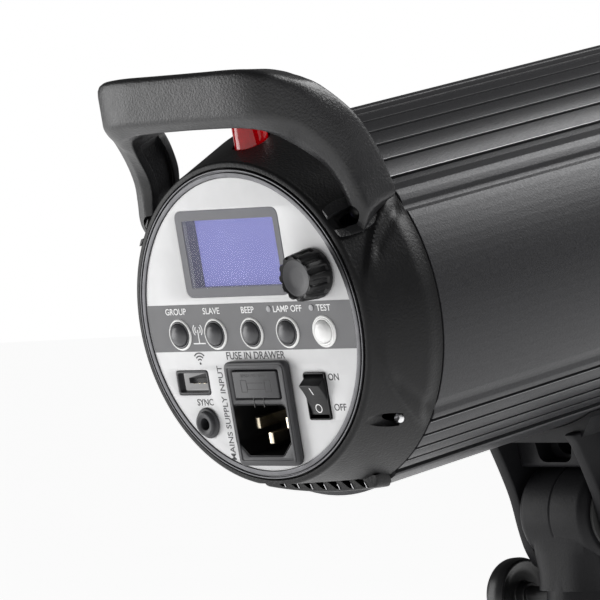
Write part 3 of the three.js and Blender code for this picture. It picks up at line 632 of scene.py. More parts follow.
def painted_rib_highlights():
    """A painted highlight: a thin light-grey metal strip along one edge of every rib, where the light
    catches it.
    """
    places = [(RIB_R + 0.12, RIB_START + RIB_PITCH * i + 0.36) for i in range(TOP_RIBS)]
    places += [(BODY_R - 0.03, LOW_START + LOW_PITCH * i + 5.2) for i in range(LOW_RIBS)]
    strips = []
    for radius, angle in places:
        for side in (-1, 1):
            quad = [polar(radius - 0.4, angle), polar(radius + 0.05, angle),
                    polar(radius + 0.05, angle + 0.2), polar(radius - 0.4, angle + 0.2)]
            strips.append(block([(side * x, z) for x, z in quad], SEAM_Y + 0.4, FRONT_Y - 0.4))
    piece(joined(*strips), "edge").name = "painted_rib_highlights"


def barrel_outline():
    """Smooth sides, a beaded edge above and below them, ribs over the top, and a keel."""
    half = []                                   # from the keel's middle up the right side
    half += [polar(KEEL_R, a) for a in range(-90, -62, 3)]
    half += [polar(KEEL_R - 0.4, -62.2), polar(57.6, -62.6)]
    for i in range(LOW_RIBS):
        start = LOW_START + LOW_PITCH * i
        half += [polar(58.6, start + 0.25), polar(BODY_R, start + 0.5),
                 polar(BODY_R, start + 5.4), polar(58.6, start + 5.6)]
    half += [polar(57.9, -37.6), polar(BODY_R + 0.2, -37.1), polar(BODY_R + 0.3, -35.0)]
    half += [polar(BODY_R - 0.5, -33.4), polar(BODY_R - 0.45, -32.2)]
    half += [polar(BODY_R, a) for a in range(-30, 30, 3)]
    half += [polar(BODY_R - 0.1, 29.3), polar(BODY_R - 0.9, 30.6), polar(BODY_R - 0.8, 31.8)]
    half += [polar(BODY_R - 0.1, 33.0), polar(BODY_R + 0.3, 35.0), polar(BODY_R + 0.2, 37.0)]
    half += [polar(RIB_R + 0.6, 40.0), polar(RIB_R + 0.2, 42.2)]
    for i in range(TOP_RIBS):
        start = RIB_START + RIB_PITCH * i
        stop = min(start + 6.85, 90)
        half += [polar(RIB_R - 1, start + 0.02), polar(RIB_R + 0.2, start + 0.3)]
        half += [polar(RIB_R, stop)] if stop < 90 else []
        half += [polar(RIB_R - 1, stop + 0.12)] if stop < 90 else []
    left = [(-x, z) for x, z in reversed(half[1:])]
    return rounded(half + left, 0.28, 2)


def barrel():
    skin = plate("barrel_skin", barrel_outline(), [circle(0, 0, BORE_R, 96)], SEAM_Y + 0.15,
                 FRONT_Y - 0.15, 0.2, angle=28)
    piece(skin, "barrel", nodes=["main_housing"])
    painted_rib_highlights()


# ---- front end -----------------------------------------------------------------------------
def front_end():
    collar = turned_ring("front_collar", [
        (53, FRONT_Y + 0.15), (BODY_R, FRONT_Y + 0.15, 0.8), (61.5, FRONT_Y + 6, 2),
        (61.5, MOUNT_Y - 8, 0.4), (61.1, MOUNT_Y - 7.6, 0.3), (61.1, MOUNT_Y - 7, 0.3),
        (61.5, MOUNT_Y - 6.6, 0.4), (61.5, MOUNT_Y, 0.5), (57.5, MOUNT_Y), (57.5, 278), (52, 275)],
        0.4, segments=192)
    slot = block(rect(58, 283, 14, 18.6, 0.8), -3.6, 3.6, "Z")
    piece(carve(collar, slot), "shell", nodes=["front_shell"])

    ring_outline = []
    for i in range(240):
        a = 2 * math.pi * i / 240
        near = min(abs((math.degrees(a) - c + 180) % 360 - 180) for c in (90, 210, 330))
        notch = 1 / (1 + math.exp((near - 15) * 1.6))
        ring_outline.append((46 + 4.4 * notch, a))
    hole = [(r * math.cos(a), r * math.sin(a)) for r, a in ring_outline]
    screw_places = [polar(56.5, a) for a in (30, 150, 270)]
    screws = [circle(*place, 1.7, 20) for place in screw_places]
    pin_hole = circle(53.5, 0, 2.2, 20)
    mount = plate("bayonet_plate", circle(0, 0, 61.2, 192), [hole, pin_hole, *screws],
                  MOUNT_Y + 0.3, MOUNT_Y + 3.2, 0.5)
    piece(mount, "steel", nodes=["bayonet_ring"])
    for i, (x, z) in enumerate(screw_places):
        head = turned(f"bayonet_screw_{i}", [
            (0, MOUNT_Y + 2.6), (0.5, MOUNT_Y + 2.2), (1.4, MOUNT_Y + 2.5), (1.4, MOUNT_Y - 4),
            (0, MOUNT_Y - 4)], 0.15, segments=24, centre=(x, 0, z))
        piece(head, "dark_steel")

    thumb = box_mesh("release_thumb", (61.9, 280, -6), (65.5, 292, 6), 0.7)
    grips = [box_mesh("grip", (64.9, y, -8), (67, y + 1, 8), 0.3) for y in (282.2, 284.8, 287.4, 289.4)]
    carve(thumb, *grips)
    neck = box_mesh("neck", (51.9, 281, -3.2), (62.4, 291, 3.2), 0.3)
    pin = turned("pin", [(0, 290), (1.8, 290), (1.8, MOUNT_Y + 5), (0, MOUNT_Y + 5)], 0.5,
                 segments=24, centre=(53.5, 0, 0))
    piece(joined(thumb, neck, pin), "dark", "bayonet_release", ["bayonet_lock"])


def lamp_end():
    dish = turned_ring("reflector_dish", [
        (17.6, 271), (40, 271), (51.6, 274.7, 1), (51.6, 277), (40, 273.2, 3), (17.6, 273.2)],
        0.5, segments=128)
    holes = [block(circle(side * LEG_X, LEG_Z, 4.9, 32), 250, 290) for side in (-1, 1)]
    piece(carve(dish, *holes), "reflector", nodes=["reflector_plate"])

    holder = turned("lamp_socket", [(0, 244), (17, 244, 1), (17, 275, 0.8), (13.4, 275), (13.4, 257.5),
                                    (0, 257.5)], 0.4, segments=64)
    piece(holder, "ceramic", nodes=["lamp_holder"])
    cap_profile = [(0, 258), (11, 258)]
    cap_profile += [(12.2 + 0.7 * math.cos(2 * math.pi * k / 8), 260 + 1.6 * k / 8)
                    for k in range(57)]
    cap_profile += [(12.6, 274.5), (0, 274.5)]
    piece(lathe("lamp_screw_cap", cap_profile, 64), "steel")
    bulb = turned("lamp_envelope", [
        (0, 274.7), (12.8, 274.7), (13.4, 277.5, 2), (19.4, 290, 6), (21.5, 302, 8), (19.4, 314.5, 7),
        (12, 323.6, 5), (5.5, 326.9, 4), (0, 327.3)], 1.0, segments=96)
    piece(bulb, "lamp", nodes=["modelling_lamp"])
    flash_tube()


def tube_path():
    points = [(-LEG_X, y, LEG_Z) for y in (258, 272, 285)]
    for i in range(25):
        a = math.radians(-108 - 324 * i / 24)
        points.append((33 * math.cos(a), 298, 33 * math.sin(a)))
    return points + [(LEG_X, y, LEG_Z) for y in (285, 272, 258)]


def swept(name, points, radius, sides, samples):
    """A round tube along a smooth path, with its section carried without twist."""
    path = catmull([Vector(p) for p in points], samples)
    sections = []
    across = None
    for i, here in enumerate(path):
        ahead = (path[min(i + 1, len(path) - 1)] - path[max(i - 1, 0)]).normalized()
        if across is None:
            across = ahead.orthogonal().normalized()
        across = (across - ahead * across.dot(ahead)).normalized()
        other = ahead.cross(across)
        sections.append([tuple(here + radius * (across * math.cos(2 * math.pi * k / sides)
                                                + other * math.sin(2 * math.pi * k / sides)))
                         for k in range(sides)])
    return loft(name, sections)


def catmull(points, samples):
    out = []
    for i in range(len(points) - 1):
        p0, p1 = points[max(i - 1, 0)], points[i]
        p2, p3 = points[i + 1], points[min(i + 2, len(points) - 1)]
        for k in range(samples):
            t = k / samples
            out.append(0.5 * ((2 * p1) + (p2 - p0) * t + (2 * p0 - 5 * p1 + 4 * p2 - p3) * t * t
                              + (3 * p1 - p0 - 3 * p2 + p3) * t * t * t))
    return out + [points[-1]]


def flash_tube():
    glass = swept("flash_tube_glass", tube_path(), 4.2, 20, 4)
    piece(glass, "tube", nodes=["flash_tube"])
    for side, name in SIDES:
        band = turned_ring(f"flash_electrode_{name}", [(4.35, 276), (4.75, 276), (4.75, 281),
                                                       (4.35, 281)], 0.15, segments=40,
                           centre=(side * LEG_X, 0, LEG_Z))
        piece(band, "steel")


# ---- carry handle --------------------------------------------------------------------------
# Each station runs: outer rear edge, outer fold, outer front edge, inner front, chamfer, inner rear.
HANDLE = [
    [(0, -16.2, 67.5), (0, -16.2, 82.4), (0, 3.4, 79.4), (0, 3.4, 65.5), (0, -10, 64), (0, -12.6, 64)],
    [(12, -16.2, 67.4), (12, -16.2, 82.4), (12, 3.4, 79.5), (12, 3.4, 65.4), (12, -10, 63.9),
     (12, -12.6, 63.9)],
    [(24, -16, 67.3), (24, -16, 82.4), (24, 3.3, 79.5), (23, 3.6, 65), (22.5, -9.6, 63.3),
     (23.5, -12.3, 63.6)],
    [(32.5, -15, 66.9), (32.5, -15, 82), (32, 3, 78.4), (29.6, 5, 64.2), (29, -8.6, 62),
     (31, -11.4, 62.6)],
    [(38, -12.8, 66.2), (38, -12.8, 80.6), (37, 2.4, 77.2), (32.4, 7.2, 63), (32.6, -6.6, 60),
     (35.2, -9.8, 61.4)],
    [(41.2, -9.4, 64.4), (41.4, -9.2, 78), (41.2, 2.6, 75.9), (34.8, 9.4, 61.4), (35.2, -3.8, 57.2),
     (38, -7, 59.6)],
    [(44, -4.6, 61.2), (44.4, -3.4, 73.8), (44.6, 5.6, 72.8), (37.6, 13, 59.6), (37.6, -0.6, 53.8),
     (40.4, -3, 56.8)],
    [(47, 1.6, 53.4), (48.2, 5, 61.4), (48.9, 12.2, 64.2), (41.4, 18, 55.4), (40.6, 4.8, 47.6),
     (43.4, 2.4, 49.6)],
    [(48.8, 5.2, 46), (50, 9.6, 51.6), (50.8, 17.6, 53.4), (43.6, 21.4, 48.6), (42.2, 6.9, 42.2),
     (45.2, 5.2, 43.2)],
    [(50.6, 6.8, 39.8), (51.4, 11.8, 43), (52.2, 20.6, 42.9), (45, 22, 42), (43.8, 7.6, 37.6),
     (46.6, 6.1, 38)],
    [(52.2, 7.8, 33.6), (52.2, 12.8, 35.4), (52.8, 21.6, 36.4), (46, 22, 36), (44.6, 7.6, 33.2),
     (47.6, 6.7, 33.5)],
    [(51.2, 8, 30), (50.2, 13, 32), (49.6, 20.6, 34.2), (45, 21, 34), (44.6, 8.4, 29.4),
     (47.6, 7.2, 29.6)],
    [(48.4, 8.6, 26), (48, 12, 28.5), (47.4, 18, 31.5), (43, 18, 31), (42.6, 9.5, 26),
     (45.6, 8.6, 26)],
]
HANDLE_EASE = (1.6, 3.4, 2.2, 1.0, 0.7, 0.8)
RECESS = 1.4


def handle_section(corners, leg):
    """The rounded section, with a shallow channel sunk into the legs' inner face."""
    outer_rear, fold, outer_front, front, chamfer, rear = corners
    into = (outer_rear - rear).normalized() * RECESS * leg
    lip = [chamfer.lerp(front, 0.2), chamfer.lerp(front, 0.2) + into,
           chamfer.lerp(front, 0.8) + into, chamfer.lerp(front, 0.8)]
    ring = [outer_rear, fold, outer_front, front, lip[3], lip[2], lip[1], lip[0], chamfer, rear]
    radii = [*HANDLE_EASE[:4], 0.2, 0.4, 0.4, 0.2, *HANDLE_EASE[4:]]
    return [point for i in range(len(ring))
            for point in corner(ring[i - 1], ring[i], ring[(i + 1) % len(ring)], radii[i])[0]]


# The pad under each foot, on the right side, from its inner top corner round the bottom.
FOOT_PAD = [(40.2, 37.2, 1.5), (39.8, 34.7, 1), (41.6, 31.4, 3), (45.0, 26.9, 1.5), (46.9, 26.0, 1.5),
            (49.0, 27.0, 1.5), (50.0, 30.5, 2), (46.2, 37.4, 2)]
PAD_PROUD = 1.1


def foot_pad(side):
    """A pad that lies on the cone and follows it."""
    outline = rounded([(side * x, z, r) for x, z, r in FOOT_PAD], 3, 6)
    pad = block(outline, -1, 18.4)
    profile = [(0, 0.9), (52.0 + PAD_PROUD, 0.9), (59.8 + PAD_PROUD, 24.4), (0, 24.4)]
    grown = lathe("grown_cone", profile, 256)
    return carve(pad, grown, operation="INTERSECT", angle=40)


def handle_strap():
    stations = [[Vector(p) for p in station] for station in HANDLE]
    tracks = [catmull([s[c] for s in stations], 10) for c in range(6)]
    half = []
    for i in range(len(tracks[0])):
        leg = ease(i / 10, 4.6, 6.0) * (1 - ease(i / 10, 8.6, 9.6))
        half.append(handle_section([track[i] for track in tracks], leg))
    left = [[(-x, y, z) for x, y, z in section] for section in half[1:]]
    strap = loft("handle_strap", [*reversed(half), *left], 40)
    carve(strap, foot_pad(-1), foot_pad(1), operation="UNION", angle=40)
    bores = [block(plug_outline(side), -2, 20) for side in (-1, 1)]
    piece(carve(strap, *bores, angle=40), "handle", nodes=["carry_handle"])


# ---- rear panel ----------------------------------------------------------------------------
def aperture_outline(grow=0.0):
    x, z, w, h = APERTURE
    hw, hh = w / 2 + grow, h / 2 + grow
    cut = 4.4                                   # the two lower corners are cut off
    return rounded([(x - hw + cut, z - hh, 0.6), (x + hw - cut, z - hh, 0.6),
                    (x + hw, z - hh + cut, 0.6), (x + hw, z + hh, 2.2),
                    (x - hw, z + hh, 2.2), (x - hw, z - hh + cut, 0.6)], 1, 5)


# The bright ring round a key and the ring inside it.
COLLAR = [(4.4, 0.1), (4.4, -0.5), (4.6, -0.6), (4.85, -0.5), (5.1, -0.2), (5.1, 0.1)]
SEAT = [(3.75, 0.1), (3.75, -0.65), (4.1, -0.75), (4.38, -0.55), (4.38, 0.1)]


def panel_plate():
    ring = turned_ring("panel_trim", [
        (47.05, 1.6), (47.05, -0.4, 0.15), (48.5, -0.4, 0.2), (48.6, 0.5, 0.1), (49.0, 0.5, 0.1),
        (49.05, -0.3, 0.1), (49.5, -0.3, 0.1), (49.5, 2.6), (47.05, 2.6)], 0.1, segments=192)
    piece(ring, "trim", nodes=["panel_ring"])
    holes = [circle(x, BUTTON_Z, 3.95, 40) for x in BUTTON_XS]
    holes += [rect(*WINDOW, 3), circle(DIAL_X, DIAL_Z, 4, 32), rect(1.2, INLET_Z, 26.6, 31, 1.5),
              rect(ROCKER_X, ROCKER_Z, 9.1, 14.8, 0.4), rect(USB_X, USB_Z, 15.1, 8.1, 1.2),
              circle(JACK_X, JACK_Z, 4.1, 32)]
    disc = plate("panel_disc", circle(0, 0, PANEL_R, 192), holes, 0, 2.5, 0.25)
    piece(disc, "panel", nodes=["control_panel"])

    low, high = BAND
    reach = PANEL_R - 0.35
    right = [(math.sqrt(reach ** 2 - z * z), z) for z in
             [low + (high - low) * k / 8 for k in range(9)]]
    outline = right + [(-x, z) for x, z in reversed(right)]
    band = plate("panel_band", outline, [circle(x, BUTTON_Z, 5.05, 48) for x in BUTTON_XS],
                 -0.06, 0.02, 0)
    piece(band, "band")
    for i, x in enumerate(BUTTON_XS, 1):
        own = "key_white" if i == len(BUTTON_XS) else "key"
        for name, look, profile in (("collar", "key_white", COLLAR), ("seat", own, SEAT)):
            ring = turned_ring(f"key_{name}_{i}", profile, 0.12, segments=64, centre=(x, 0, BUTTON_Z))
            piece(ring, look)


def keys():
    for i, x in enumerate(BUTTON_XS, 1):
        white = i == len(BUTTON_XS)
        profile = [(0, -2.55), (1.6, -2.4, 0.6), (2.9, -1.85, 0.6), (3.6, -0.9, 0.4), (3.6, 3.2),
                   (1.8, 3.2), (1.8, 7.6), (0, 7.6)]
        key = turned(f"key_cap_{i}", profile, 0.15, segments=48, centre=(x, 0, BUTTON_Z))
        piece(key, "key_white" if white else "key", f"key_{i}",
              [f"button_{i}"])


def display():
    x, z, w, h = WINDOW
    opening = rect(-2.6, SCREEN[1], 41.6, SCREEN[3] + 0.2, 0.5)
    screen = rect(*SCREEN, 0.3)
    # The well and the bezel strip behind the glass are lit by painted light: their materials glow.
    for name, less, radius, holes, low, high, soft, look, slot, nodes in (
            ("surround", 0.1, 2.9, [opening], -0.06, 0.1, 0.03, "surround", "window", []),
            ("window", 0.6, 2.7, [], 0.15, 0.75, 0.1, "glass", "window", ["display_window"]),
            ("well", 0, 2.8, [opening], 0.8, 1.9, 0.02, "wall", "window", []),
            ("bezel", 0, 2.8, [screen], 1.95, 2.45, 0.05, "strip", "screen", [])):
        outline = rect(x, z, w - less, h - less, radius)
        piece(plate(f"screen_{name}", outline, holes, low, high, soft), look, nodes=nodes)
    module = box_mesh("screen_panel", (-25, 2.5, 10), (18, 8.4, 36), 0.3)
    piece(module, "screen", nodes=["display_module"])


def dial():
    segments, step = 144, 12                    # twelve flutes of twelve segments
    rows = [(-5.0, 3.4, 0), (-0.9, 3.4, 0), (-0.9, 8.0, 0), (-2.2, 8.0, 0), (-2.7, 7.9, 0.55)]
    rows += [(-8.4, 7.45, 0.75), (-9.1, 7.2, 0.75), (-9.45, 6.7, 0.5), (-9.3, 6.2, 0), (-8.9, 5.7, 0)]
    rows += [(-8.5, 4.6, 0), (-8.2, 3.0, 0), (-8.1, 1.4, 0)]
    sections = []
    for y, r, cut in rows:
        ring = []
        for i in range(segments):
            a, phase = 2 * math.pi * i / segments, (i % step) / step
            flute = min(max((phase - 0.2) / 0.12, 0), 1) * min(max((0.8 - phase) / 0.12, 0), 1)
            ring.append(((r - cut * flute) * math.cos(a), y, (r - cut * flute) * math.sin(a)))
        sections.append(ring)
    knob = loft("dial_grip", sections, 30)
    shifted(knob, Matrix.Translation((DIAL_X * MM, 0, DIAL_Z * MM)))
    piece(knob, "dark", "dial", ["dial_knob"])
    face = turned("dial_face", [(0, -8.25), (3.2, -8.35, 0.8), (5.3, -8.9, 0.5), (5.75, -9.0, 0.2),
                                (5.75, -8.3), (0, -7.9)], 0.1, segments=96,
                  centre=(DIAL_X, 0, DIAL_Z))
    piece(face, "charcoal", "dial")


def usb_port():
    socket = plate("usb_bezel", rect(USB_X, USB_Z, 14.8, 7.8, 1.2),
                   [rect(USB_X, USB_Z, 13.2, 6.2, 0.7)], -0.12, 2.6, 0.25)
    can = plate("usb_can", rect(USB_X, USB_Z, 13.0, 6.0, 0.6), [rect(USB_X, USB_Z, 12.2, 5.2, 0.4)],
                2.3, 16, 0.1)
    back = plate("usb_back", rect(USB_X, USB_Z, 12.2, 5.2, 0.3), [], 14.4, 15, 0)
    # The can's inside is lit by painted light: its material glows.
    piece(can, "bright", nodes=["usb_shell"])
    piece(socket, "charcoal")
    piece(back, "dark")
    tongue = box_mesh("usb_blade", (USB_X - 5.6, 3.4, USB_Z - 0.9),
                      (USB_X + 5.6, 14.2, USB_Z + 0.9), 0.2)
    piece(tongue, "dark", nodes=["usb_tongue"])
    for i in range(USB_CONTACTS):
        x = USB_X + 2.4 * (i - (USB_CONTACTS - 1) / 2)
        pad = box_mesh(f"usb_contact_{i + 1}", (x - 0.5, 3.6, USB_Z - 1.1),
                       (x + 0.5, 11, USB_Z - 0.9), 0.08)
        piece(pad, "pin")


def sync_jack():
    jack = turned("sync_collar", [
        (0, 10), (1.9, 10), (1.9, -2.0, 0.3), (3.2, -2.4, 0.4), (3.9, -2.2, 0.4), (4.1, -1.0, 0.2),
        (4.7, -0.9, 0.3), (5.0, -0.5, 0.3), (5.0, -0.3), (3.7, -0.3), (3.7, 14), (0, 14)],
        0.15, segments=64, centre=(JACK_X, 0, JACK_Z))
    piece(jack, "charcoal", nodes=["sync_jack"])
    contact = turned_ring("sync_contact", [(1.5, 1.5), (1.85, 1.5), (1.85, 6), (1.5, 6)],
                          0.1, segments=40, centre=(JACK_X, 0, JACK_Z))
    piece(contact, "dark_steel")


def inlet():
    outer = rounded([(INLET_X + x, z, r) for x, z, r in (
        (-13.6, -44.85, 2.4), (13.6, -44.85, 2.4), (14.1, -11.3, 2.8), (-14.1, -11.3, 2.8))], 2.5, 6)
    drawer_hole = rect(INLET_X, DRAWER_Z, 20.6, 9.2, 0.5)
    flange = plate("inlet_bezel", outer, [drawer_hole, aperture_outline()], -2.9, -0.3, 0.7)
    body = block(rect(*INLET_BODY, 1.2), -0.4, 17, holes=[drawer_hole, aperture_outline()])
    back = block(rect(*INLET_BODY, 1.2), 17, 26)
    turning = outer if signed_area(outer) > 0 else outer[::-1]
    lip = plate("inlet_lip", moved_in(turning, 1.0), [moved_in(turning, 1.9)], -3.1, -2.8, 0.1)
    piece(joined(flange, body, back), "charcoal", nodes=["inlet_housing"])
    piece(lip, "charcoal")
    tab = [block(rect(INLET_X + x, -24.4, 0.35, 2.9, 0.1), -2.96, -2.85) for x in (-2.2, 2.2)]
    piece(joined(*tab), "dark").name = "drawer_tab"
    well = plate("inlet_well", aperture_outline(-0.01), [aperture_outline(-0.1)], -2.7, 16.8, 0)
    floor = plate("inlet_floor", aperture_outline(-0.6), [], 16.2, 16.9, 0)
    piece(joined(well, floor), "dark")
    for name, x, z in (("live", -6.1, -32), ("neutral", 7.9, -32), ("earth", 0.9, -36.5)):
        tip = 0.2 if name == "earth" else 2
        pin = box_mesh(f"inlet_blade_{name}", (x - 1, tip, z - 2), (x + 1, 32, z + 2), 0.45)
        piece(pin, "pin", nodes=[f"inlet_pin_{name}"])


def fuse_drawer():
    tray = plate("fuse_tray", rect(INLET_X, DRAWER_Z, 20, 8.6, 0.5), [], -3.15, 1.5, 0.25)
    stem = plate("fuse_stem", rect(INLET_X, DRAWER_Z, 19.4, 8.0, 0.4), [], 1.5, 19.3, 0.2)
    trough = box_mesh("trough", (INLET_X - 8.2, 2, DRAWER_Z - 2.6),
                      (INLET_X + 8.2, 18, DRAWER_Z + 8), 0.2)
    carve(stem, trough)
    inlay = []
    for x, w, h in ((0, 8.2, 2.3), (-5.4, 2.8, 4.0), (5.4, 2.8, 4.0)):
        z = DRAWER_Z - 0.4
        inlay.append(plate("line", rect(INLET_X + x, z, w, h, 0.2),
                           [rect(INLET_X + x, z, w - 0.5, h - 0.5, 0.1)], -3.18, -3.1, 0))
    piece(joined(*inlay), "dark", "fuse_tray").name = "fuse_outline"
    piece(joined(tray, stem), "charcoal", "fuse_tray", ["fuse_drawer"])
    words = lettering("fuse_words", "SPARE FUSE INSIDE", INLET_X, DRAWER_Z + 2.9, 1.5, -3.17)
    piece(words, "ink", "fuse_tray")


def rocker_switch():
    well = rect(ROCKER_X, ROCKER_Z, 8.85, 14.0, 0.3)
    rim = plate("switch_bezel", rect(ROCKER_X, ROCKER_Z, 9.3, 15.1, 0.7), [well], -0.9, -0.3, 0.2)
    case = rect(ROCKER_X, ROCKER_Z, 8.9, 14.5, 0.4)
    body, back = block(case, -0.4, 9, holes=[well]), block(case, 9, 14)
    piece(joined(rim, body, back), "dark", nodes=["switch_frame"])
    face = [(-2.3 - 0.9 * (z / 5.3) ** 2, z, 0.05) for z in (-4.4, -3, -1.5, 0, 1.5, 3, 4.4)]
    side = rounded([(1.4, -6.55, 0.3), (-3.2, -5.3, 0.35), *face, (-3.2, 5.3, 0.35), (1.4, 6.55, 0.3),
                    (2.6, 6, 0.4), (4.6, 0, 1), (2.6, -6, 0.4)], 0.3, 4)
    rocker = plate("rocker_cap", side, [], -4.4, 4.4, 0.3, axis="X")
    tilt = (Matrix.Translation((ROCKER_X * MM, ROCKER_PIVOT * MM, ROCKER_Z * MM))
            @ Matrix.Rotation(ROCKER_TILT, 4, "X"))
    piece(shifted(rocker, tilt), "dark", "rocker", ["switch_rocker"])
    marks = (("mark_on", rect(0, 0, 0.32, 2.8, 0.1), [], 3.0),
             ("mark_off", circle(0, 0, 1.45, 40), [circle(0, 0, 1.15, 40)], -3.2))
    for name, outline, holes, z in marks:
        mark = plate(name, outline, holes, -0.03, 0.03, 0)
        lean = math.atan(1.8 * z / 5.3 ** 2)
        lift = -2.3 - 0.9 * (z / 5.3) ** 2 - 0.05
        shifted(mark, tilt @ Matrix.Translation((-0.3 * MM, lift * MM, z * MM))
                @ Matrix.Rotation(lean, 4, "X"))
        piece(mark, "ink_white", "rocker")


LABEL_Z = 4.7
LABELS = (("GROUP", -33.2), ("SLAVE", -16.6), ("BEEP", 0.1), ("LAMP OFF", 18.2), ("TEST", 34.3))
# Name, words, place, height of the letters, and turn.
PANEL_WORDS = (
    ("sync", "SYNC", -26.4, -24.8, 3.0, 0),
    ("fuse", "FUSE IN DRAWER", 0.2, -9.9, 3.4, 0),
    ("supply", "MAINS SUPPLY INPUT", -17.2, -28.3, 3.2, math.pi / 2),
    ("on", "ON", 33.7, -17.2, 3.1, 0),
    ("off", "OFF", 34.5, -26.8, 3.1, 0),
)


def arc_band(x, z, r, half, start, stop, steps, sign=1):
    """A band along an arc, between two angles in degrees; sign -1 turns it to the left."""
    sweep = [math.radians(start + (stop - start) * i / steps) for i in range(steps + 1)]
    edges = [(r + half, a) for a in sweep] + [(r - half, a) for a in reversed(sweep)]
    return [(x + sign * reach * math.cos(a), z + reach * math.sin(a)) for reach, a in edges]


def legends():
    for text, x in LABELS:
        name = text.split()[0].lower()
        piece(lettering(f"legend_{name}", text, x, LABEL_Z, 2.9, -0.09), "ink_white")
    for name, x in (("lamp", 9.9), ("test", 29.0)):
        dot = plate(f"indicator_{name}", circle(x, 4.9, 1.0, 24), [], -0.3, 0.0, 0.12)
        piece(dot, "dot")
    for name, text, x, z, size, turn in PANEL_WORDS:
        piece(lettering(f"legend_{name}", text, x, z, size, -0.03, turn), "ink")
    arcs = [block(arc_band(-25.6, -11.9, r, 0.22, 45, 135, 12), -0.05, 0.01) for r in (1.2, 2.2, 3.2)]
    arcs.append(block(circle(-25.6, -12.1, 0.4, 16), -0.05, 0.01))
    piece(joined(*arcs), "ink").name = "legend_waves"
    mast = [rect(-24.3, -5.6, 5.6, 0.4, 0.05), rect(-24.3, -3.3, 0.4, 4.2, 0.05)]
    mast += [arc_band(-24.3, -1.2, r, 0.18, -50, 50, 8, sign) for sign in (-1, 1) for r in (1.2, 2.1)]
    mast = [block(outline, -0.11, -0.05) for outline in mast]
    piece(joined(*mast), "ink_white").name = "legend_mast"


# ---- bracket -------------------------------------------------------------------------------
CHEEK_OUTLINE = [
    (114.5, -61.6), (117.5, -66), (121, -76), (124, -86), (125.3, -97), (127, -105), (130.5, -111.5),
    (136, -113.4), (143, -112), (149, -106), (154, -96), (163, -84), (182, -73), (205.8, -65.6),
    (205.8, -61.6),
]


def keel_section(y, half_width, drop):
    """A saddle section under the keel: round above, flat-bottomed below."""
    top = []
    for i in range(17):
        x = half_width - 2 * half_width * i / 16
        r = KEEL_R + 0.35
        top.append((x, y, -math.sqrt(r * r - x * x)))
    sole, inset = -64.4 - drop * 0.3, half_width * 0.75
    return top + [(-half_width, y, top[-1][2] - drop * 0.5), (-inset, y, sole),
                  (inset, y, sole), (half_width, y, top[0][2] - drop * 0.5)]


def yoke():
    curve, hole = rounded(CHEEK_OUTLINE, 6, 5), circle(PIVOT_Y, PIVOT_Z, PIVOT_BORE, 40)
    cheeks = [plate(f"cheek_{side}", curve, [hole], *sorted((side * 16.8, side * 21.2)), 0.7, "X")
              for side in (-1, 1)]
    sections = []
    for y in [119 + 86.6 * k / 24 for k in range(25)]:
        half_width = 26.5 * math.sin(math.pi / 2 * min(1, (y - 116) / 8 + 0.72))
        sections.append(keel_section(y, half_width, 3.2))
    saddle = loft("saddle", sections)
    bridge = box_mesh("bridge", (-17.2, 127.2, -76), (17.2, 151, -62.6), 1.6)
    mouth = block(rounded([(-7, -74), (7, -74), (9, -63.5), (-9, -63.5)], 3, 5), 126, 134)
    carve(bridge, mouth, block(circle(0, UMBRELLA_Z, 4.3, 40), 110, 160))
    carve(saddle, block(circle(0, UMBRELLA_Z, 4.5, 40), 148, 212))
    tap = turned("tap", [(0, 3), (2.6, 3), (2.6, 30), (0, 30)], 0, segments=24, axis="X",
                 centre=(0, UMBRELLA_Y, UMBRELLA_Z))
    carve(bridge, tap)
    seats = [turned("seat", [(0, 63.7), (4.2, 63.7), (4.2, 80), (0, 80)], 0, segments=32, axis="Z",
                    centre=(side * BOLT_X, BOLT_Y, -143.7)) for side in (-1, 1)]
    carve(saddle, *seats)
    piece(joined(*cheeks, saddle, bridge), "bracket", nodes=["bracket_yoke"])
    for side, name in SIDES:
        screw = turned(f"bracket_screw_{name}", [(0, -65.4), (2.6, -65.5, 0.4), (3.8, -65.2, 0.5),
                                                 (3.8, -64.0), (2, -64.0), (2, -51), (0, -51)], 0.2,
                       segments=40, axis="Z", centre=(side * BOLT_X, BOLT_Y, 0))
        carve(screw, block(circle(side * BOLT_X, BOLT_Y, 1.9, 6), -67, -64.4, "Z"))
        piece(screw, "steel", nodes=[f"bracket_bolt_{name}"])


def lobed(r, lobes, depth, n=96):
    out = []
    for i in range(n):
        a = 2 * math.pi * i / n
        reach = r - depth * (0.5 + 0.5 * math.cos(a * lobes)) ** 2
        out.append((reach * math.cos(a), reach * math.sin(a)))
    return out


def umbrella_screw():
    grip = plate("grip", lobed(8, 6, 1.2), [], 24, 32.9, 1.4, axis="X")
    shank = turned("shank", [(0, 5.3), (2.4, 5.3), (2.4, 25), (0, 25)], 0.4, segments=32, axis="X")
    screw = joined(grip, shank)
    screw.name = "umbrella_thumbscrew"
    shifted(screw, Matrix.Translation((0, UMBRELLA_Y * MM, UMBRELLA_Z * MM)))
    piece(screw, "dark", "umbrella_clamp", ["umbrella_screw"])


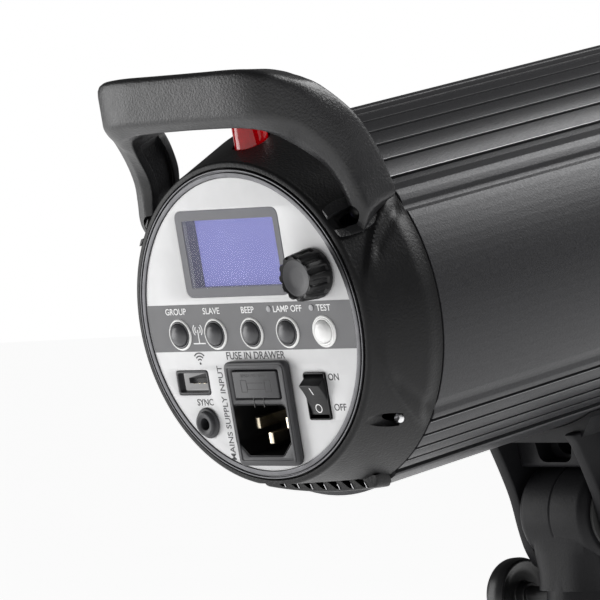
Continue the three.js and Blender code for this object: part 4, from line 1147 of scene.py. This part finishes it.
def tilt_parts():
    centre = (0, PIVOT_Y, PIVOT_Z)
    shank = turned("tilt_shank", [(0, -18.9), (4, -18.9), (4, 33.9), (0, 33.9)], 0.4, segments=48,
                   axis="X", centre=centre)
    cap = plate("cap", [(PIVOT_Y + x, PIVOT_Z + z) for x, z in circle(0, 0, 7.2, 6)], [], -21, -18.6,
                0.4, axis="X")
    piece(joined(shank, cap), "dark_steel", nodes=["tilt_bolt"])
    for side, name in SIDES:
        low, high = sorted((side * 15.35, side * 16.4))
        washer = plate(f"washer_{name}", circle(PIVOT_Y, PIVOT_Z, 13, 64),
                       [circle(PIVOT_Y, PIVOT_Z, 4.35, 40)], low, high, 0.15, axis="X")
        piece(washer, "rubber", nodes=[f"friction_washer_{name}"])
    hub = turned("hub", [(0, 34.4), (4.2, 34.4), (4.2, 21.9), (9, 21.9, 1), (11, 23.2, 1.2),
                         (11, 32.6, 2), (8.6, 36.4, 1.5), (0, 36.4)], 0.5, segments=64, axis="X")
    side_view = rounded([(0, -7.8), (8, -7.3), (57, 0.6, 3), (61.5, 5, 3), (58.5, 9.3, 3), (50, 8.8),
                         (0, 8.8)], 3, 6)
    arm = plate("arm", side_view, [], 25.2, 33.8, 2.2, axis="X")
    lever = joined(hub, arm)
    lever.name = "tilt_handle"
    shifted(lever, Matrix.Translation((0, PIVOT_Y * MM, PIVOT_Z * MM))
            @ Matrix.Rotation(math.radians(-35), 4, "X"))
    piece(lever, "dark", "tilt_lock", ["tilt_lever"])


def stand_parts():
    height = PIVOT.z / MM
    knuckle = turned_ring("knuckle", [(4.3, -15), (14.6, -15, 1), (16.4, -13, 1.6), (16.5, -0.6, 0.1),
                                      (16.2, 0, 0.1), (16.5, 0.6, 0.1), (16.4, 13, 1.6), (14.6, 15, 1),
                                      (4.3, 15)], 0.4, segments=96, axis="X", centre=(0, 0, height))
    neck = loft("neck", [[(x * w, y * d, z) for x, y in circle_square(12)] for w, d, z in (
        (12.9, 12.9, 24), (13.0, 13.0, 30), (13.9, 13.6, 36), (14.7, 14.4, 42), (14.9, 14.9, 47))], 50)
    socket = turned("socket", [(0, 0), (12.2, 0, 0.6), (13, 1, 0.8), (13, 33, 0.5), (0, 33)], 0.3,
                    segments=96, axis="Z")
    bores = [block(circle(0, height, PIVOT_BORE, 40), -30, 30, "X"),
             block(circle(0, 0, 8.1, 64), -5, 38, "Z"),
             block(circle(0, CLAMP_Z, 3.2, 32), -30, 0, "X")]
    body = carve(knuckle, neck, socket, operation="UNION", angle=40)
    piece(carve(body, *bores, angle=40), "bracket", "stand", ["stand_adapter"], UPRIGHT)

    grip = turned("clamp_grip", [
        (0, -36.8), (9.6, -36.8, 1.5), (12.2, -34.4, 2), (12.6, -30, 1.2), (12.0, -27.7, 0.6),
        (11.2, -27.4, 0.5), (8.6, -28.8, 1), (4.4, -28.4, 0.5), (4.2, -24.7, 0.4), (2.9, -24.7),
        (2.9, -8.8), (0, -8.8)], 0.3, segments=96, axis="X", centre=(0, 0, CLAMP_Z))
    piece(grip, "dark", "stand_clamp", ["clamp_knob"], UPRIGHT)


def circle_square(n):
    """A square with well rounded sides, as unit directions."""
    out = []
    for i in range(n * 4):
        a = 2 * math.pi * (i + 0.5) / (n * 4)
        c, s = math.cos(a), math.sin(a)
        r = (abs(c) ** 4 + abs(s) ** 4) ** -0.25
        out.append((c * r, s * r))
    return out


# ---- carried-over pieces -------------------------------------------------------------------
CARRIED = {
    "display_board": "board", "main_board": "board", "dial_shaft": "steel", "dial_encoder": "steel",
    "fuse": "glass", "chassis_plate": "steel", "trigger_transformer": "copper",
    "capacitor_1": "sleeve", "capacitor_2": "sleeve", "capacitor_3": "sleeve",
    "capacitor_4": "sleeve", "fan_frame": "dark", "fan_rotor": "dark",
}


def carried_over():
    for node, look in CARRIED.items():
        obj = frame["nodes"][node]
        obj.data.materials.clear()
        obj.data.materials.append(M[look])


# ---- studio --------------------------------------------------------------------------------
AZIMUTH, ELEVATION, ROLL = 46.1, 0.29, 2.19
CAMERA_AT = Vector((1.0449, -1.1333, 0.1324))


def camera():
    data = bpy.data.cameras.new("camera")
    data.sensor_width = 36
    data.lens = 274.8
    data.clip_end = 100
    cam = bpy.data.objects.new("camera", data)
    bpy.context.scene.collection.objects.link(cam)
    turn = (Matrix.Rotation(math.radians(AZIMUTH), 4, "Z")
            @ Matrix.Rotation(math.radians(90 - ELEVATION), 4, "X")
            @ Matrix.Rotation(math.radians(-ROLL), 4, "Z"))
    cam.matrix_world = Matrix.Translation(CAMERA_AT) @ turn
    bpy.context.scene.camera = cam


# Name, place, what it faces, width and height in metres, and watts.
SOFTBOXES = (
    ("overhead", (0.55, 0.75, 1.2), (0.0, 0.0, 0.15), 1.1, 0.8, 27),
    ("left_rear", (-1.42, -0.98, 0.2), (-0.02, -0.1, 0.15), 0.9, 1.2, 16),
    ("camera_side", (1.7, -1.5, 0.9), (0.0, -0.05, 0.12), 1.0, 1.0, 2.0),
)


def softbox(name, at, toward, width, height, power):
    data = bpy.data.lights.new(name, "AREA")
    data.shape = "RECTANGLE"
    data.size, data.size_y = width, height
    data.energy = power
    light = bpy.data.objects.new(name, data)
    bpy.context.scene.collection.objects.link(light)
    light.location = at
    light.rotation_euler = (Vector(toward) - Vector(at)).to_track_quat("-Z", "Y").to_euler()


def studio():
    look = Look("floor_pale", (0.9, 0.9, 0.9), 0.7).mottle(400, 0.01).gloss(200, 0.05)
    look.set(Emission_Color=(1, 1, 1, 1), Emission_Strength=0.88)
    bpy.ops.mesh.primitive_plane_add(size=60, location=(0, 0, -0.35))
    floor = bpy.context.object
    floor.name = "floor"
    floor.data.materials.append(look.material)
    world = bpy.data.worlds.new("studio")
    bpy.context.scene.world = world
    world.use_nodes = True
    nodes, links = world.node_tree.nodes, world.node_tree.links
    back = nodes["Background"]
    back.inputs["Color"].default_value = (1, 1, 1, 1)
    seen = nodes.new("ShaderNodeLightPath")
    strength = nodes.new("ShaderNodeMapRange")
    strength.inputs["To Min"].default_value = 0.09
    strength.inputs["To Max"].default_value = 1.0
    links.new(seen.outputs["Is Camera Ray"], strength.inputs["Value"])
    links.new(strength.outputs["Result"], back.inputs["Strength"])
    bpy.context.scene.view_settings.view_transform = "Standard"
    for light in SOFTBOXES:
        softbox(*light)


# ---- build ---------------------------------------------------------------------------------
camera()
studio()
rear_shell()
shell_screws()
vent_foot()
sensor()
barrel()
front_end()
lamp_end()
handle_strap()
panel_plate()
keys()
display()
dial()
usb_port()
sync_jack()
inlet()
fuse_drawer()
rocker_switch()
legends()
yoke()
umbrella_screw()
tilt_parts()
stand_parts()
carried_over()
